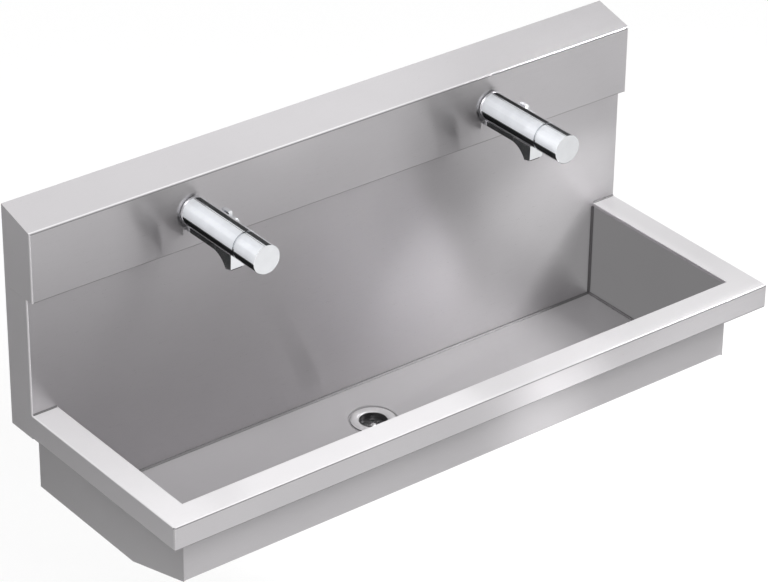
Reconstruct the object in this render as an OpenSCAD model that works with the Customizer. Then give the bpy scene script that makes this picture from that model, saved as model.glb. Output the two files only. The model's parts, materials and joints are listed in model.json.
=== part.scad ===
// Wall-hung wash trough in folded stainless sheet, with a service cover and two push taps.
// The origin lies on the wall plane, at rim height, midway along the trough.
// +X runs to the right, -Y comes out of the wall towards the user, +Z is up.

/* [Trough] */
// Overall width from end to end
trough_w = 1200; // [1000:10:1600]
// Overall depth from the wall to the front apron
trough_d = 448; // [420:1:520]
// Thickness of the stainless sheet
sheet_t = 1.2; // [1:0.1:1.6]
// Width of the flat rim round the bowl
rim_w = 48; // [36:1:60]
// Height of the apron folded down from the rim
apron_h = 43; // [30:1:60]
// Width of the lip turned in at the foot of the apron
apron_lip = 14; // [8:1:20]
// Outer radius of the visible folds
fold_r = 3; // [2.5:0.5:5]

/* [Bowl] */
// Depth of the floor below the rim, along its edges
bowl_h = 180.5; // [160:0.5:210]
// Depth of the bowl's front wall below the rim
front_h = 141.5; // [120:0.5:150]
// Length of the creased floor out from the splash panel
floor_l = 202; // [180:1:220]
// Fall of the floor from its corners to the drain
floor_fall = 7; // [4:0.5:9]
// Distance of the drain's centre from the wall
drain_d = 155; // [140:1:175]

/* [Splash panel] */
// Distance of the splash panel's face from the wall
splash_d = 60; // [56:1:75]
// Height of the panel's top rail above the rim
splash_h = 324; // [318:1:328]
// Height of the service windows behind the cover
window_h = 88; // [60:1:92]
// Half the width of the middle service window
window_mid = 125; // [100:1:140]
// Distance of the outer windows from a tap's axis
window_gap = 70; // [50:1:80]
// Distance of the outer windows from the trough's ends
window_end = 30; // [20:1:40]

/* [Service cover] */
// Distance of the cover's face from the wall
cover_d = 76.5; // [75:0.5:95]
// Height of the cover's lower edge above the rim
cover_low = 209; // [200:1:212]
// Height of the cover's front edge above the rim
ledge_front_h = 331; // [328:1:345]
// Height of the sloping top at the wall
ledge_back_h = 351; // [348:1:370]
// Distance of the outer cover screws from the cover's ends
screw_end = 120; // [60:5:150]
// Radius of a cover screw's thread
screw_r = 2; // [1.5:0.5:2.5]

/* [Wall fixing] */
// Distance of the wall bolts from the trough's ends
bolt_end = 100; // [80:1:110]
// Height of the upper wall bolts above the rim
bolt_high = 300; // [290:1:305]
// Height of the lower wall bolts above the floor's edges
bolt_rise = 50.5; // [45:0.5:65]
// Radius of a wall bolt's slot
slot_r = 4.5; // [3.5:0.5:6]
// Length of a wall bolt's slot from end to end
slot_l = 24; // [16:1:30]
// Thickness of the wall brackets and rails
rail_t = 2; // [1.5:0.5:3]

/* [Taps] */
// Spacing of the two taps
tap_pitch = 600; // [520:10:640]
// Height of the taps' axes above the rim
tap_h = 274.5; // [270:0.5:276]
// Radius of a tap's body and push cap
tap_r = 25; // [24:0.5:26]
// Length of a tap from the cover's face to its end
tap_l = 195.5; // [185:0.5:210]
// Length of the push cap
cap_l = 52.5; // [45:0.5:55]
// Gap between the tap's body and its push cap at rest
cap_gap = 3.4; // [3.2:0.1:4]
// Radius of the threaded shank that passes through the panel
shank_r = 15; // [13:0.5:16]
// Running clearance round shafts and sliding fits
run_gap = 0.05; // [0.03:0.01:0.08]

/* [Spout] */
// Width of the spout
spout_w = 27; // [24:1:30]
// Distance of the spout's front face from the cover
spout_l = 120; // [110:1:125]
// Depth of the spout's flat underside below the tap's axis
spout_h = 32; // [30:0.5:34]
// Depth of the outlet's front edge below the tap's axis
outlet_h = 49; // [45:0.5:55]
// Length of the outlet's tilted end
outlet_l = 15; // [14:0.5:18]
// Tilt of the outlet towards the user
outlet_tilt = 19; // [10:1:25]
// Radius of the hollow curve behind the outlet
spout_r = 39; // [36:0.5:45]

/* [Temperature lever] */
// Distance of the lever's pivot from the cover
lever_d = 72.5; // [70:0.5:75]
// Radius of the lever's hub
lever_r = 7; // [6.5:0.5:8]
// Length of the lever from its pivot to its tip
lever_l = 32; // [28:1:36]
// Width of the lever, out from the tap
lever_w = 6.7; // [5:0.1:8]
// Height of the thumb tab above the pivot
tab_h = 13.6; // [11:0.1:16]
// Length of the thumb tab
tab_l = 19; // [14:1:22]

/* [Waste] */
// Radius of the waste's flange
flange_r = 38.5; // [36:0.5:40]
// Thickness of the waste's flange
flange_t = 2.5; // [2:0.5:3.5]
// Radius of the waste's mouth
mouth_r = 23.5; // [22:0.5:24]
// Depth of the strainer below the flange's top
strainer_h = 12; // [10:0.5:16]
// Radius of a strainer hole
strainer_hole_r = 4.2; // [3:0.1:4.4]
// Radius of the threaded waste tail
tail_r = 23.9; // [22.5:0.1:24.5]
// Length of the threaded waste tail
tail_l = 27; // [20:1:40]

/* [Pipework] */
// Radius of a supply pipe
pipe_r = 9; // [8:0.5:10]
// Wall thickness of a supply pipe
pipe_t = 1.2; // [1:0.1:2]
// Height from a tap's axis to each supply pipe
pipe_off = 36; // [34:0.5:38]
// Distance of the supply pipes from the wall
pipe_d = 28; // [27:0.5:30]
// Radius of a tap's connecting tube
tube_r = 5; // [4:0.5:5.5]
// Radius of a threaded supply inlet
inlet_r = 10.45; // [9:0.05:11]
// Spacing of the hot and cold supply inlets
inlet_pitch = 150; // [120:10:170]

/* [Hidden] */

// Segments of a full circle
round_fn = 72;
// Overrun of every cut past the face it opens
cut = 5;
// Gap between pieces that are only laid together
seat_gap = 0.2;

// Clear width and length of the bowl
bowl_w = trough_w - 2 * rim_w;
bowl_d = trough_d - rim_w;
// Front edge of the creased floor, from the wall
floor_d = splash_d + floor_l;
// Upright thickness of the sloping front of the bowl
front_slope = atan2(bowl_h - front_h, bowl_d - floor_d);
slope_t = sheet_t / cos(front_slope);

// Pressed seat of the waste in the floor
seat_drop = 1.5;
seat_z = -bowl_h - floor_fall - seat_drop;
seat_r = flange_r + sheet_t * 3;
drain_hole_r = mouth_r + sheet_t * 2;
floor_block = floor_fall * 6;
floor_spread_share = 1.05;

// Slope of the cover's top
ledge_slope = atan2(ledge_back_h - ledge_front_h, cover_d);

// Brackets, rails and ribs on the wall
bracket_l = 230;
bracket_end = 12;
bracket_foot = 22;
bracket_low = bolt_high - bracket_foot;
bolt_pitch = trough_w - 2 * bolt_end;
bolt_low = bowl_h - bolt_rise;
rail_foot = 20;
rail_head = 20;
rib_w = 60;
rib_foot = 15;
rib_end = 200;
rib_x = trough_w / 2 - rib_end;
rib_drop = 10;
rib_top = cover_low - rib_drop;

// Cover brackets and screws
cover_screws_n = 4;
screw_pitch = (trough_w - 2 * screw_end) / (cover_screws_n - 1);
block_gap = 2;
block_w = 18;
block_d = cover_d - splash_d - 2 * sheet_t - block_gap;
block_h = 14;
head_r = 3.8;
head_h = 2.4;

// Windows between the mounting plates behind the cover
upper_w = trough_w - 4 * sheet_t;
window_drop = 4;
window_low = tap_h - window_h / 2 - window_drop;
window_from = tap_pitch / 2 + window_gap;
window_w = trough_w / 2 - window_end - window_from;

// Tap body
gasket_t = 0.6;
body_l = tap_l - cap_l - cap_gap;
neck_l = 20;
neck_r = tap_r - 2.4;
cap_wall = 4;
cap_edge = 1;
bore_r = 18;
bore_start = 80;
shank_l = 28.5;
hole_gap = 0.5;
tail_depth = 12;
tail_x = 7.2;
water_r = 6;
nut_h = 8;
nut_r = 23;
spacer_r = 19;

// Cartridge, stem and spring inside the tap
ring_t = 4.4;
ring_r = 12;
stem_r = 4;
stem_bite = 6;
stem_bore = 30;
spring_r = 10.5;
spring_in_r = 8;
cartridge_gap = 0.1;

// Lever and its shaft
boss_r = 8.5;
boss_end = tap_r + 1;
hub_gap = 0.3;
hub_x = boss_end + hub_gap;
shaft_r = 4;
shaft_in = 10;
arm_low = 5;
tab_slope = 2;
lever_screw_r = 3;
lever_screw_h = 1.5;

// Spout profile, worked out from its outlet
groove_h = tap_r - 3;
outlet_front = spout_l - 1;
outlet_back = outlet_front - outlet_l * cos(outlet_tilt);
outlet_back_h = outlet_h + outlet_l * sin(outlet_tilt);
arc_rise = spout_r + spout_h - outlet_back_h;
arc_d = outlet_back - sqrt(pow(spout_r, 2) - pow(arc_rise, 2));
aerator_w = 21;
aerator_l = 10;
aerator_out = 1.8;
aerator_in = 4;

// Supply pipes and what joins them to the taps
pipe_over = 24;
socket_r = 8;
socket_l = 18;
socket_bite = 7;
tail_nut_r = 9;
tail_nut_h = 8;
plug_in = 8;
plug_out = 3;
clip_gap = 120;
clip_x = tap_pitch / 2 - clip_gap;
clip_r = pipe_r + 2;
clip_l = 16;
clip_foot_h = 12;
hex_r = 13.5;
hex_l = 5;
inlet_end = 2;
inlet_boss_r = 10.5;
inlet_boss = pipe_r + 2;
inlet_bore = inlet_r - 3;

// Waste below the floor
upper_gasket_t = 1;
lower_gasket_t = 3;
sleeve_t = 1.8;
shelf_w = 3;
shelf_t = 1.6;
strainer_t = 1.5;
strainer_ring_r = 13.5;
strainer_holes = 6;
waste_screw_r = 3;
waste_head_r = 5;
waste_head_h = 2.4;
waste_bar_w = 11;
waste_bar_h = 8;
cup_r = 31;
cup_t = 2.5;
cup_h = 45;
cup_flange_r = 37;
cup_flange_t = 4;
tail_in = tail_r - 2 * cup_t;
flange_z = seat_z + upper_gasket_t;
shelf_z = flange_z + flange_t - strainer_h - strainer_t;
cup_z = seat_z - sheet_t - lower_gasket_t;
cup_floor_z = cup_z - cup_h;

// Extrudes an outline drawn in (Y, Z) along X, centred
module along_x(l) {
    translate([-l / 2, 0, 0])
        rotate([90, 0, 90])
            linear_extrude(l) children();
}

// Turns +Z to -Y, so that heights run out of the wall
module outward() {
    rotate([90, 0, 0]) children();
}

// Rectangle with its two far corners rounded, open side at y = 0
module round_front(w, d, r) {
    translate([-w / 2, r - d]) square([w, d - r]);
    translate([r - w / 2, -d]) square([w - 2 * r, r * 2]);
    for (side = [-1, 1])
        translate([side * (w / 2 - r), r - d]) circle(r, $fn = round_fn);
}

// Ring about Z
module ring(outer, inner, h) {
    difference() {
        cylinder(h, outer, outer, $fn = round_fn);
        translate([0, 0, -cut]) cylinder(h + 2 * cut, inner, inner, $fn = round_fn);
    }
}

// Bar with half-round ends, along X, standing on z = 0
module slot(l, r, h) {
    for (side = [-1, 1])
        translate([side * (l / 2 - r), 0, 0]) cylinder(h, r, r, $fn = round_fn);
    translate([r - l / 2, -r, 0]) cube([l - 2 * r, 2 * r, h]);
}

// Everything below the creased floor's surface, spread about the drain
module under_floor(spread, drop) {
    corners = [
        [-bowl_w / 2, drain_d - splash_d, floor_fall],
        [bowl_w / 2, drain_d - splash_d, floor_fall],
        [bowl_w / 2, drain_d - floor_d, floor_fall],
        [-bowl_w / 2, drain_d - floor_d, floor_fall]
    ];
    lower = [for (c = corners) [c.x * spread, c.y * spread, -floor_block * spread]];
    translate([0, -drain_d, -bowl_h - floor_fall - drop])
        polyhedron(
            points = concat([for (c = corners) c * spread], lower, [[0, 0, 0]]),
            faces = [
                [0, 1, 8], [1, 2, 8], [2, 3, 8], [3, 0, 8], [4, 7, 6, 5],
                [0, 4, 5, 1], [1, 5, 6, 2], [2, 6, 7, 3], [3, 7, 4, 0]
            ]
        );
}

// Floor creased from its four corners down to a round pressed seat
module bowl_floor() {
    color("silver")
    difference() {
        union() {
            difference() {
                under_floor(1, 0);
                under_floor(floor_spread_share, sheet_t);
                translate([0, -drain_d, seat_z - floor_block])
                    cylinder(floor_block * 2, seat_r, seat_r, $fn = round_fn);
            }
            intersection() {
                translate([0, -drain_d, seat_z - sheet_t])
                    cylinder(floor_block, seat_r + sheet_t, seat_r + sheet_t, $fn = round_fn);
                under_floor(floor_spread_share, 0);
            }
        }
        translate([0, -drain_d, seat_z]) cylinder(floor_block, seat_r, seat_r, $fn = round_fn);
        translate([0, -drain_d, seat_z - floor_block])
            cylinder(floor_block * 2, drain_hole_r, drain_hole_r, $fn = round_fn);
    }
}

// Sloping floor and front wall, folded from one sheet
module bowl_front() {
    color("silver")
    along_x(bowl_w)
        polygon([
            [-bowl_d, -sheet_t],
            [-bowl_d, -front_h],
            [-floor_d, -bowl_h],
            [-floor_d, -bowl_h - slope_t],
            [-bowl_d - sheet_t, -front_h - slope_t],
            [-bowl_d - sheet_t, -sheet_t]
        ]);
}

// End wall of the bowl, reaching back to the wall
module bowl_end(side) {
    color("gainsboro")
    translate([side * (bowl_w + sheet_t) / 2, 0, 0])
    along_x(sheet_t)
        polygon([
            [0, -sheet_t],
            [-bowl_d - sheet_t, -sheet_t],
            [-bowl_d - sheet_t, -front_h - slope_t],
            [-floor_d, -bowl_h - slope_t],
            [0, -bowl_h - slope_t]
        ]);
}

// Solid block under the rim's outer surface, with rounded top edges
module rim_block(inset, h) {
    r = fold_r - inset;
    translate([0, 0, -inset])
    intersection() {
        along_x(trough_w)
            rotate(180) mirror([1, 0]) round_front(2 * (trough_d - inset), h, r);
        translate([0, cut, 0]) outward()
            linear_extrude(trough_d + cut * 2)
                rotate(180) mirror([1, 0]) round_front(trough_w - 2 * inset, h, r);
    }
}

// Rim, aprons and turned-in lip on the front and both ends
module rim_frame() {
    color("whitesmoke") {
        difference() {
            translate([0, 0, -apron_h]) rim_block(0, apron_h);
            translate([0, 0, -apron_h + 2 * sheet_t]) rim_block(sheet_t, apron_h - 2 * sheet_t);
            translate([-bowl_w / 2, -bowl_d, -apron_h - cut])
                cube([bowl_w, bowl_d + cut, apron_h + cut * 2]);
            translate([apron_lip - trough_w / 2, apron_lip - trough_d, -apron_h - cut])
                cube([trough_w - 2 * apron_lip, trough_d, apron_h / 2 + cut]);
            translate([-trough_w / 2 - cut, -splash_d, -apron_h - cut])
                cube([trough_w + cut * 2, splash_d + cut, apron_h + cut * 2]);
        }
        for (side = [-1, 1])
            translate([side * (trough_w - sheet_t) / 2 - sheet_t / 2, -splash_d, -apron_h])
                cube([sheet_t, splash_d, apron_h]);
    }
}

// Panel behind the bowl, with cheeks folded back to the wall above the rim
module splash_panel() {
    cheek_h = cover_low - seat_gap;
    color("lightgray") {
        linear_extrude(cheek_h)
            difference() {
                round_front(trough_w, splash_d, fold_r);
                translate([0, cut])
                    round_front(trough_w - 2 * sheet_t, splash_d - sheet_t + cut, fold_r - sheet_t);
            }
        translate([-bowl_w / 2, -splash_d, -bowl_h - sheet_t])
            cube([bowl_w, sheet_t, bowl_h + sheet_t * 2]);
        translate([-upper_w / 2, -splash_d, cheek_h - sheet_t])
            cube([upper_w, sheet_t, window_low - cheek_h + sheet_t]);
    }
}

// Plates above the panel that carry the taps and the top rail, with service windows between them
module mounting_plates() {
    color("lightgray")
    for (side = [-1, 1]) {
        mid = side * (window_mid + window_from) / 2;
        tap_plate_w = window_from - window_mid;
        end_plate_w = upper_w / 2 - window_from - window_w;
        difference() {
            translate([mid - tap_plate_w / 2, -splash_d, window_low])
                cube([tap_plate_w, sheet_t, window_h]);
            translate([side * tap_pitch / 2, cut - splash_d, tap_h])
                outward() cylinder(cut * 2, shank_r + hole_gap, shank_r + hole_gap, $fn = round_fn);
        }
        translate([side * (upper_w - end_plate_w) / 2 - end_plate_w / 2, -splash_d, window_low])
            cube([end_plate_w, sheet_t, window_h]);
    }
}

// Strip along the tops of the mounting plates
module top_rail() {
    rail_z = window_low + window_h;
    color("darkgray")
    translate([-upper_w / 2, -splash_d, rail_z]) cube([upper_w, sheet_t, splash_h - rail_z]);
}

// Angle bracket that joins the panel's top to the wall
module wall_bracket(side) {
    x = side * (trough_w / 2 - bracket_end - bracket_l / 2);
    color("darkgray")
    difference() {
        translate([x - bracket_l / 2, 0, 0]) {
            translate([0, -rail_t, bracket_low]) cube([bracket_l, rail_t, splash_h - bracket_low]);
            translate([0, sheet_t - splash_d, splash_h - rail_t])
                cube([bracket_l, splash_d - sheet_t, rail_t]);
        }
        translate([side * bolt_pitch / 2, cut, bolt_high])
            outward() slot(slot_l, slot_r, cut * 2);
    }
}

// Angle rail that joins the panel to the wall below the rim
module lower_rail() {
    rail_z = -bolt_low + rail_head;
    color("darkgray")
    difference() {
        translate([-bowl_w / 2, 0, 0]) {
            translate([0, -rail_t, -bolt_low - rail_foot])
                cube([bowl_w, rail_t, rail_head + rail_foot]);
            translate([0, sheet_t - splash_d, rail_z - rail_t])
                cube([bowl_w, splash_d - sheet_t, rail_t]);
        }
        for (side = [-1, 1])
            translate([side * bolt_pitch / 2, cut, -bolt_low])
                outward() slot(slot_l, slot_r, cut * 2);
    }
}

// Hat-shaped ribs between the panel and the wall
module back_ribs() {
    rib_low = -bolt_low + rail_head;
    depth = splash_d - sheet_t;
    color("darkgray")
    for (x = [-rib_x, 0, rib_x])
        translate([x, 0, rib_low])
            linear_extrude(rib_top - rib_low)
                difference() {
                    union() {
                        translate([-rib_w / 2, -depth]) square([rib_w, depth]);
                        translate([-rib_w / 2 - rib_foot, -depth])
                            square([rib_w + 2 * rib_foot, rail_t]);
                    }
                    translate([rail_t - rib_w / 2, -depth - cut])
                        square([rib_w - 2 * rail_t, depth + cut - rail_t]);
                }
}

// Side outline of the cover: front face, rounded edge and sloping top
module cover_outline(inset, low) {
    d = cover_d - inset;
    r = fold_r - inset;
    back_h = ledge_back_h - inset / cos(ledge_slope);
    front_z = back_h - d * tan(ledge_slope);
    reach = r * (1 - sin(ledge_slope)) / cos(ledge_slope);
    kite = [[0, 0], [-r, 0], [-r, reach], [reach * cos(ledge_slope) - r, reach + reach * sin(ledge_slope)]];
    difference() {
        polygon([[cut, low], [-d, low], [-d, front_z], [0, back_h], [cut, back_h]]);
        translate([r - d, front_z - reach])
            difference() {
                polygon(kite * 2);
                circle(r, $fn = round_fn);
            }
    }
}

// Solid of the cover's outline and plan, for its outer or inner surface
module cover_block(inset, low) {
    intersection() {
        along_x(trough_w - 2 * inset) cover_outline(inset, low);
        translate([0, 0, low])
            linear_extrude(ledge_back_h - low + cut)
                round_front(trough_w - 2 * inset, cover_d - inset, fold_r - inset);
        translate([-trough_w / 2, -cover_d, low])
            cube([trough_w, cover_d, ledge_back_h]);
    }
}

// Whole shell of the cover: front, sloping top, ends, lower lip and a lip down at the wall
module cover_shell() {
    difference() {
        cover_block(0, cover_low);
        difference() {
            cover_block(sheet_t, cover_low + sheet_t);
            translate([-trough_w / 2, -sheet_t, splash_h]) cube([trough_w, sheet_t, ledge_back_h]);
        }
        translate([sheet_t - trough_w / 2, -splash_d - seat_gap, cover_low - cut])
            cube([trough_w - 2 * sheet_t, splash_d + seat_gap + cut, sheet_t + cut * 2]);
        for (side = [-1, 1])
            translate([side * tap_pitch / 2, cut - cover_d, tap_h])
                outward() cylinder(cut * 2, shank_r + hole_gap, shank_r + hole_gap, $fn = round_fn);
        for (i = [0 : cover_screws_n - 1])
            translate([screw_x(i), screw_y(), cover_low - cut])
                cylinder(cut * 2, screw_r + hole_gap, screw_r + hole_gap, $fn = round_fn);
    }
}

// Ends of the cover behind its rounded front edges
module cover_end_blocks() {
    for (side = [-1, 1])
        translate([side * (trough_w / 2 - sheet_t + cut) - cut, fold_r - cover_d, 0])
            cube([cut * 2, cover_d, ledge_back_h * 2]);
}

// Cover over the pipework, hooked over the wall brackets at the back
module service_cover() {
    color("gainsboro")
    difference() {
        cover_shell();
        cover_end_blocks();
    }
}

module cover_ends() {
    color("gainsboro")
    intersection() {
        cover_shell();
        cover_end_blocks();
    }
}

// Place of one cover screw
function screw_x(i) = (i - (cover_screws_n - 1) / 2) * screw_pitch;
function screw_y() = -splash_d - block_d / 2;

// Blocks on the panel that take the cover's screws
module cover_brackets() {
    color("darkgray")
    for (i = [0 : cover_screws_n - 1])
        difference() {
            translate([screw_x(i) - block_w / 2, -splash_d - block_d, cover_low + sheet_t])
                cube([block_w, block_d, block_h]);
            translate([screw_x(i), screw_y(), cover_low])
                cylinder(block_h * 2, screw_r + run_gap, screw_r + run_gap, $fn = round_fn);
        }
}

// Button-head screws up through the cover's lower lip
module cover_screws() {
    color("dimgray")
    for (i = [0 : cover_screws_n - 1])
        translate([screw_x(i), screw_y(), cover_low - head_h]) {
            cylinder(head_h, head_r, head_r, $fn = round_fn);
            cylinder(head_h + sheet_t + block_h, screw_r, screw_r, $fn = round_fn);
        }
}

// Places what follows on the drain's axis
module at_drain() {
    translate([0, -drain_d, 0]) children();
}

module waste_gasket_upper() {
    color("dimgray")
    at_drain() translate([0, 0, seat_z])
        ring(flange_r - upper_gasket_t, drain_hole_r, upper_gasket_t);
}

// Flange with a dished mouth, a sleeve and a shelf for the strainer
module waste_flange() {
    sleeve_r = mouth_r + sleeve_t;
    top_z = flange_z + flange_t;
    color("lightgray")
    at_drain()
        rotate_extrude($fn = round_fn)
            polygon([
                [mouth_r, top_z - flange_t / 2],
                [mouth_r + flange_t / 2, top_z],
                [flange_r - flange_t, top_z],
                [flange_r, flange_z + flange_t / 3],
                [flange_r, flange_z],
                [sleeve_r, flange_z],
                [sleeve_r, shelf_z - shelf_t],
                [mouth_r - shelf_w, shelf_z - shelf_t],
                [mouth_r - shelf_w, shelf_z],
                [mouth_r, shelf_z]
            ]);
}

// Round plate with a ring of holes
module waste_strainer() {
    color("silver")
    at_drain() translate([0, 0, shelf_z])
        difference() {
            cylinder(strainer_t, mouth_r - seat_gap, mouth_r - seat_gap, $fn = round_fn);
            for (i = [0 : strainer_holes - 1])
                rotate(i * 360 / strainer_holes)
                    translate([strainer_ring_r, 0, -cut])
                        cylinder(cut * 2 + strainer_t, strainer_hole_r, strainer_hole_r, $fn = round_fn);
            translate([0, 0, -cut])
                cylinder(cut * 2 + strainer_t, waste_screw_r + run_gap, waste_screw_r + run_gap,
                         $fn = round_fn);
        }
}

module waste_screw() {
    shank = shelf_z - cup_floor_z;
    color("gray")
    at_drain() translate([0, 0, shelf_z + strainer_t]) {
        cylinder(waste_head_h, waste_head_r, waste_head_r, $fn = round_fn);
        translate([0, 0, -shank]) cylinder(shank, waste_screw_r, waste_screw_r, $fn = round_fn);
    }
}

module waste_gasket_lower() {
    color("dimgray")
    at_drain() translate([0, 0, cup_z]) ring(cup_flange_r, drain_hole_r + sheet_t, lower_gasket_t);
}

// Cup under the floor with a cross bar for the screw
module waste_cup() {
    color("gray")
    at_drain() {
        translate([0, 0, cup_z - cup_flange_t]) ring(cup_flange_r, cup_r - cup_t, cup_flange_t);
        translate([0, 0, cup_floor_z]) ring(cup_r, cup_r - cup_t, cup_h);
        translate([0, 0, cup_floor_z - cup_t]) ring(cup_r, tail_in, cup_t);
        difference() {
            union() {
                translate([-cup_r + cup_t / 2, -waste_bar_w / 2, cup_floor_z])
                    cube([2 * cup_r - cup_t, waste_bar_w, waste_bar_h]);
                translate([0, 0, cup_floor_z])
                    cylinder(waste_bar_h, waste_bar_w - cup_t, waste_bar_w - cup_t, $fn = round_fn);
            }
            translate([0, 0, cup_floor_z - cut])
                cylinder(waste_bar_h + cut * 2, waste_screw_r + run_gap, waste_screw_r + run_gap,
                         $fn = round_fn);
        }
    }
}

// Threaded tail that the trap's nut goes on
module waste_tail() {
    color("gray")
    at_drain() translate([0, 0, cup_floor_z - tail_l]) ring(tail_r, tail_in, tail_l - cup_t);
}

// Supply pipe with a socket for each tap and one for its inlet; dir is -1 below the taps, 1 above
module supply_pipe(dir) {
    l = tap_pitch + 2 * pipe_over;
    translate([0, -pipe_d, tap_h + dir * pipe_off])
        difference() {
            union() {
                translate([-l / 2, 0, 0]) rotate([0, 90, 0]) cylinder(l, pipe_r, pipe_r, $fn = round_fn);
                for (side = [-1, 1])
                    translate([side * tap_pitch / 2 - dir * tail_x, 0, 0])
                        rotate([90 + dir * 90, 0, 0]) cylinder(socket_l, socket_r, socket_r, $fn = round_fn);
                translate([-dir * inlet_pitch / 2, 0, 0])
                    rotate([-90, 0, 0])
                        cylinder(inlet_boss, inlet_boss_r, inlet_boss_r, $fn = round_fn);
            }
            translate([-l / 2 - cut, 0, 0])
                rotate([0, 90, 0])
                    cylinder(l + cut * 2, pipe_r - pipe_t, pipe_r - pipe_t, $fn = round_fn);
            for (side = [-1, 1])
                translate([side * tap_pitch / 2 - dir * tail_x, 0, 0])
                    rotate([90 + dir * 90, 0, 0]) {
                        cylinder(socket_l + cut, tube_r - pipe_t, tube_r - pipe_t, $fn = round_fn);
                        translate([0, 0, socket_l - socket_bite])
                            cylinder(socket_bite + cut, tube_r + run_gap, tube_r + run_gap,
                                     $fn = round_fn);
                    }
            translate([-dir * inlet_pitch / 2, 0, 0])
                rotate([-90, 0, 0])
                    cylinder(inlet_boss + cut, inlet_bore, inlet_bore, $fn = round_fn);
        }
}

module cold_pipe() {
    color("peru") supply_pipe(-1);
}

module hot_pipe() {
    color("peru") supply_pipe(1);
}

// Push-in plugs at the four pipe ends
module pipe_plugs() {
    l = tap_pitch / 2 + pipe_over;
    color("goldenrod")
    for (side = [-1, 1], dir = [-1, 1])
        translate([side * l, -pipe_d, tap_h + dir * pipe_off])
            rotate([0, side * 90, 0]) {
                cylinder(plug_out, pipe_r, pipe_r, $fn = round_fn);
                translate([0, 0, -plug_in])
                    cylinder(plug_in + plug_out / 2, pipe_r - pipe_t - run_gap, pipe_r - pipe_t - run_gap,
                             $fn = round_fn);
            }
}

// Clips that hold the pipes to the back of the panel
module pipe_clips() {
    color("dimgray")
    for (side = [-1, 1], dir = [-1, 1])
        translate([side * clip_x, -pipe_d, tap_h + dir * pipe_off])
            difference() {
                union() {
                    rotate([0, 90, 0]) cylinder(clip_l, clip_r, clip_r, center = true, $fn = round_fn);
                    translate([-clip_l / 2, pipe_d + sheet_t - splash_d, -clip_foot_h / 2])
                        cube([clip_l, splash_d - sheet_t - pipe_d, clip_foot_h]);
                }
                rotate([0, 90, 0])
                    cylinder(clip_l * 2, pipe_r + run_gap, pipe_r + run_gap, center = true,
                             $fn = round_fn);
            }
}

// Threaded inlet that points at the wall
module supply_inlet(dir) {
    l = pipe_d - inlet_boss - inlet_end;
    color("goldenrod")
    translate([-dir * inlet_pitch / 2, inlet_boss - pipe_d, tap_h + dir * pipe_off])
        rotate([-90, 0, 0])
            difference() {
                union() {
                    cylinder(hex_l, hex_r, hex_r, $fn = 6);
                    cylinder(l, inlet_r, inlet_r, $fn = round_fn);
                }
                translate([0, 0, -cut]) cylinder(l + cut * 2, inlet_bore, inlet_bore, $fn = round_fn);
            }
}

module cold_inlet() {
    supply_inlet(-1);
}

module hot_inlet() {
    supply_inlet(1);
}

// Nuts on the connecting tubes, under the sockets
module tail_nuts() {
    color("goldenrod")
    for (side = [-1, 1], dir = [-1, 1])
        translate([side * tap_pitch / 2 - dir * tail_x, -pipe_d, tap_h + dir * (pipe_off - socket_l)])
            rotate([90 + dir * 90, 0, 0])
                difference() {
                    cylinder(tail_nut_h, tail_nut_r, tail_nut_r, $fn = 6);
                    translate([0, 0, -cut])
                        cylinder(tail_nut_h + cut * 2, tube_r + run_gap, tube_r + run_gap,
                                 $fn = round_fn);
                }
}

// Places what follows on a tap's axis at the cover's face; side is -1 left, 1 right
module at_tap(side) {
    translate([side * tap_pitch / 2, -cover_d, tap_h]) children();
}

// Round bar on the tap's axis between two distances from the cover's face
module bar(from, to, r) {
    translate([0, -from, 0]) outward() cylinder(to - from, r, r, $fn = round_fn);
}

// Cast body with its shank, neck, cartridge bore and lever boss
module tap_body(side) {
    color("lightgray")
    at_tap(side)
        difference() {
            union() {
                bar(gasket_t, body_l, tap_r);
                bar(gasket_t, body_l + neck_l, neck_r);
                bar(-shank_l, gasket_t * 2, shank_r);
                translate([0, -lever_d, 0])
                    rotate([0, 90, 0]) cylinder(boss_end, boss_r, boss_r, $fn = round_fn);
            }
            bar(bore_start, body_l + neck_l + cut, bore_r);
            translate([0, -lever_d, 0])
                rotate([0, 90, 0])
                    translate([0, 0, shaft_in - run_gap])
                        cylinder(boss_end, shaft_r + run_gap, shaft_r + run_gap, $fn = round_fn);
            for (dir = [-1, 1])
                translate([-dir * tail_x, 0, 0])
                    bar(-shank_l - cut, tail_depth - shank_l, tube_r + run_gap);
            translate([0, -(outlet_front + outlet_back) / 2, -tap_r - cut])
                cylinder(tap_r + cut, water_r, water_r, $fn = round_fn);
        }
}

module tap_gasket(side) {
    color("black")
    at_tap(side) outward() ring(tap_r - gasket_t, shank_r + hole_gap, gasket_t);
}

// Sleeve that keeps the cover from being pulled in
module tap_spacer(side) {
    color("silver")
    at_tap(side)
        translate([0, cover_d - splash_d, 0])
            outward() ring(spacer_r, shank_r + run_gap, cover_d - splash_d - sheet_t);
}

module tap_locknut(side) {
    color("goldenrod")
    at_tap(side)
        translate([0, cover_d - splash_d + sheet_t + nut_h, 0])
            outward()
                difference() {
                    cylinder(nut_h, nut_r, nut_r, $fn = 6);
                    translate([0, 0, -cut])
                        cylinder(nut_h + cut * 2, shank_r + run_gap, shank_r + run_gap, $fn = round_fn);
                }
}

// Hot and cold tubes from the shank to the supply pipes
module tap_tails(side) {
    turn = cover_d - pipe_d;
    reach = pipe_off - socket_l + socket_bite - seat_gap;
    color("peru")
    at_tap(side)
        for (dir = [-1, 1])
            translate([-dir * tail_x, 0, 0]) {
                bar(-turn, tail_depth - shank_l - seat_gap, tube_r);
                translate([0, turn, 0]) {
                    sphere(tube_r, $fn = round_fn);
                    rotate([90 - dir * 90, 0, 0]) cylinder(reach, tube_r, tube_r, $fn = round_fn);
                }
            }
}

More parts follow.
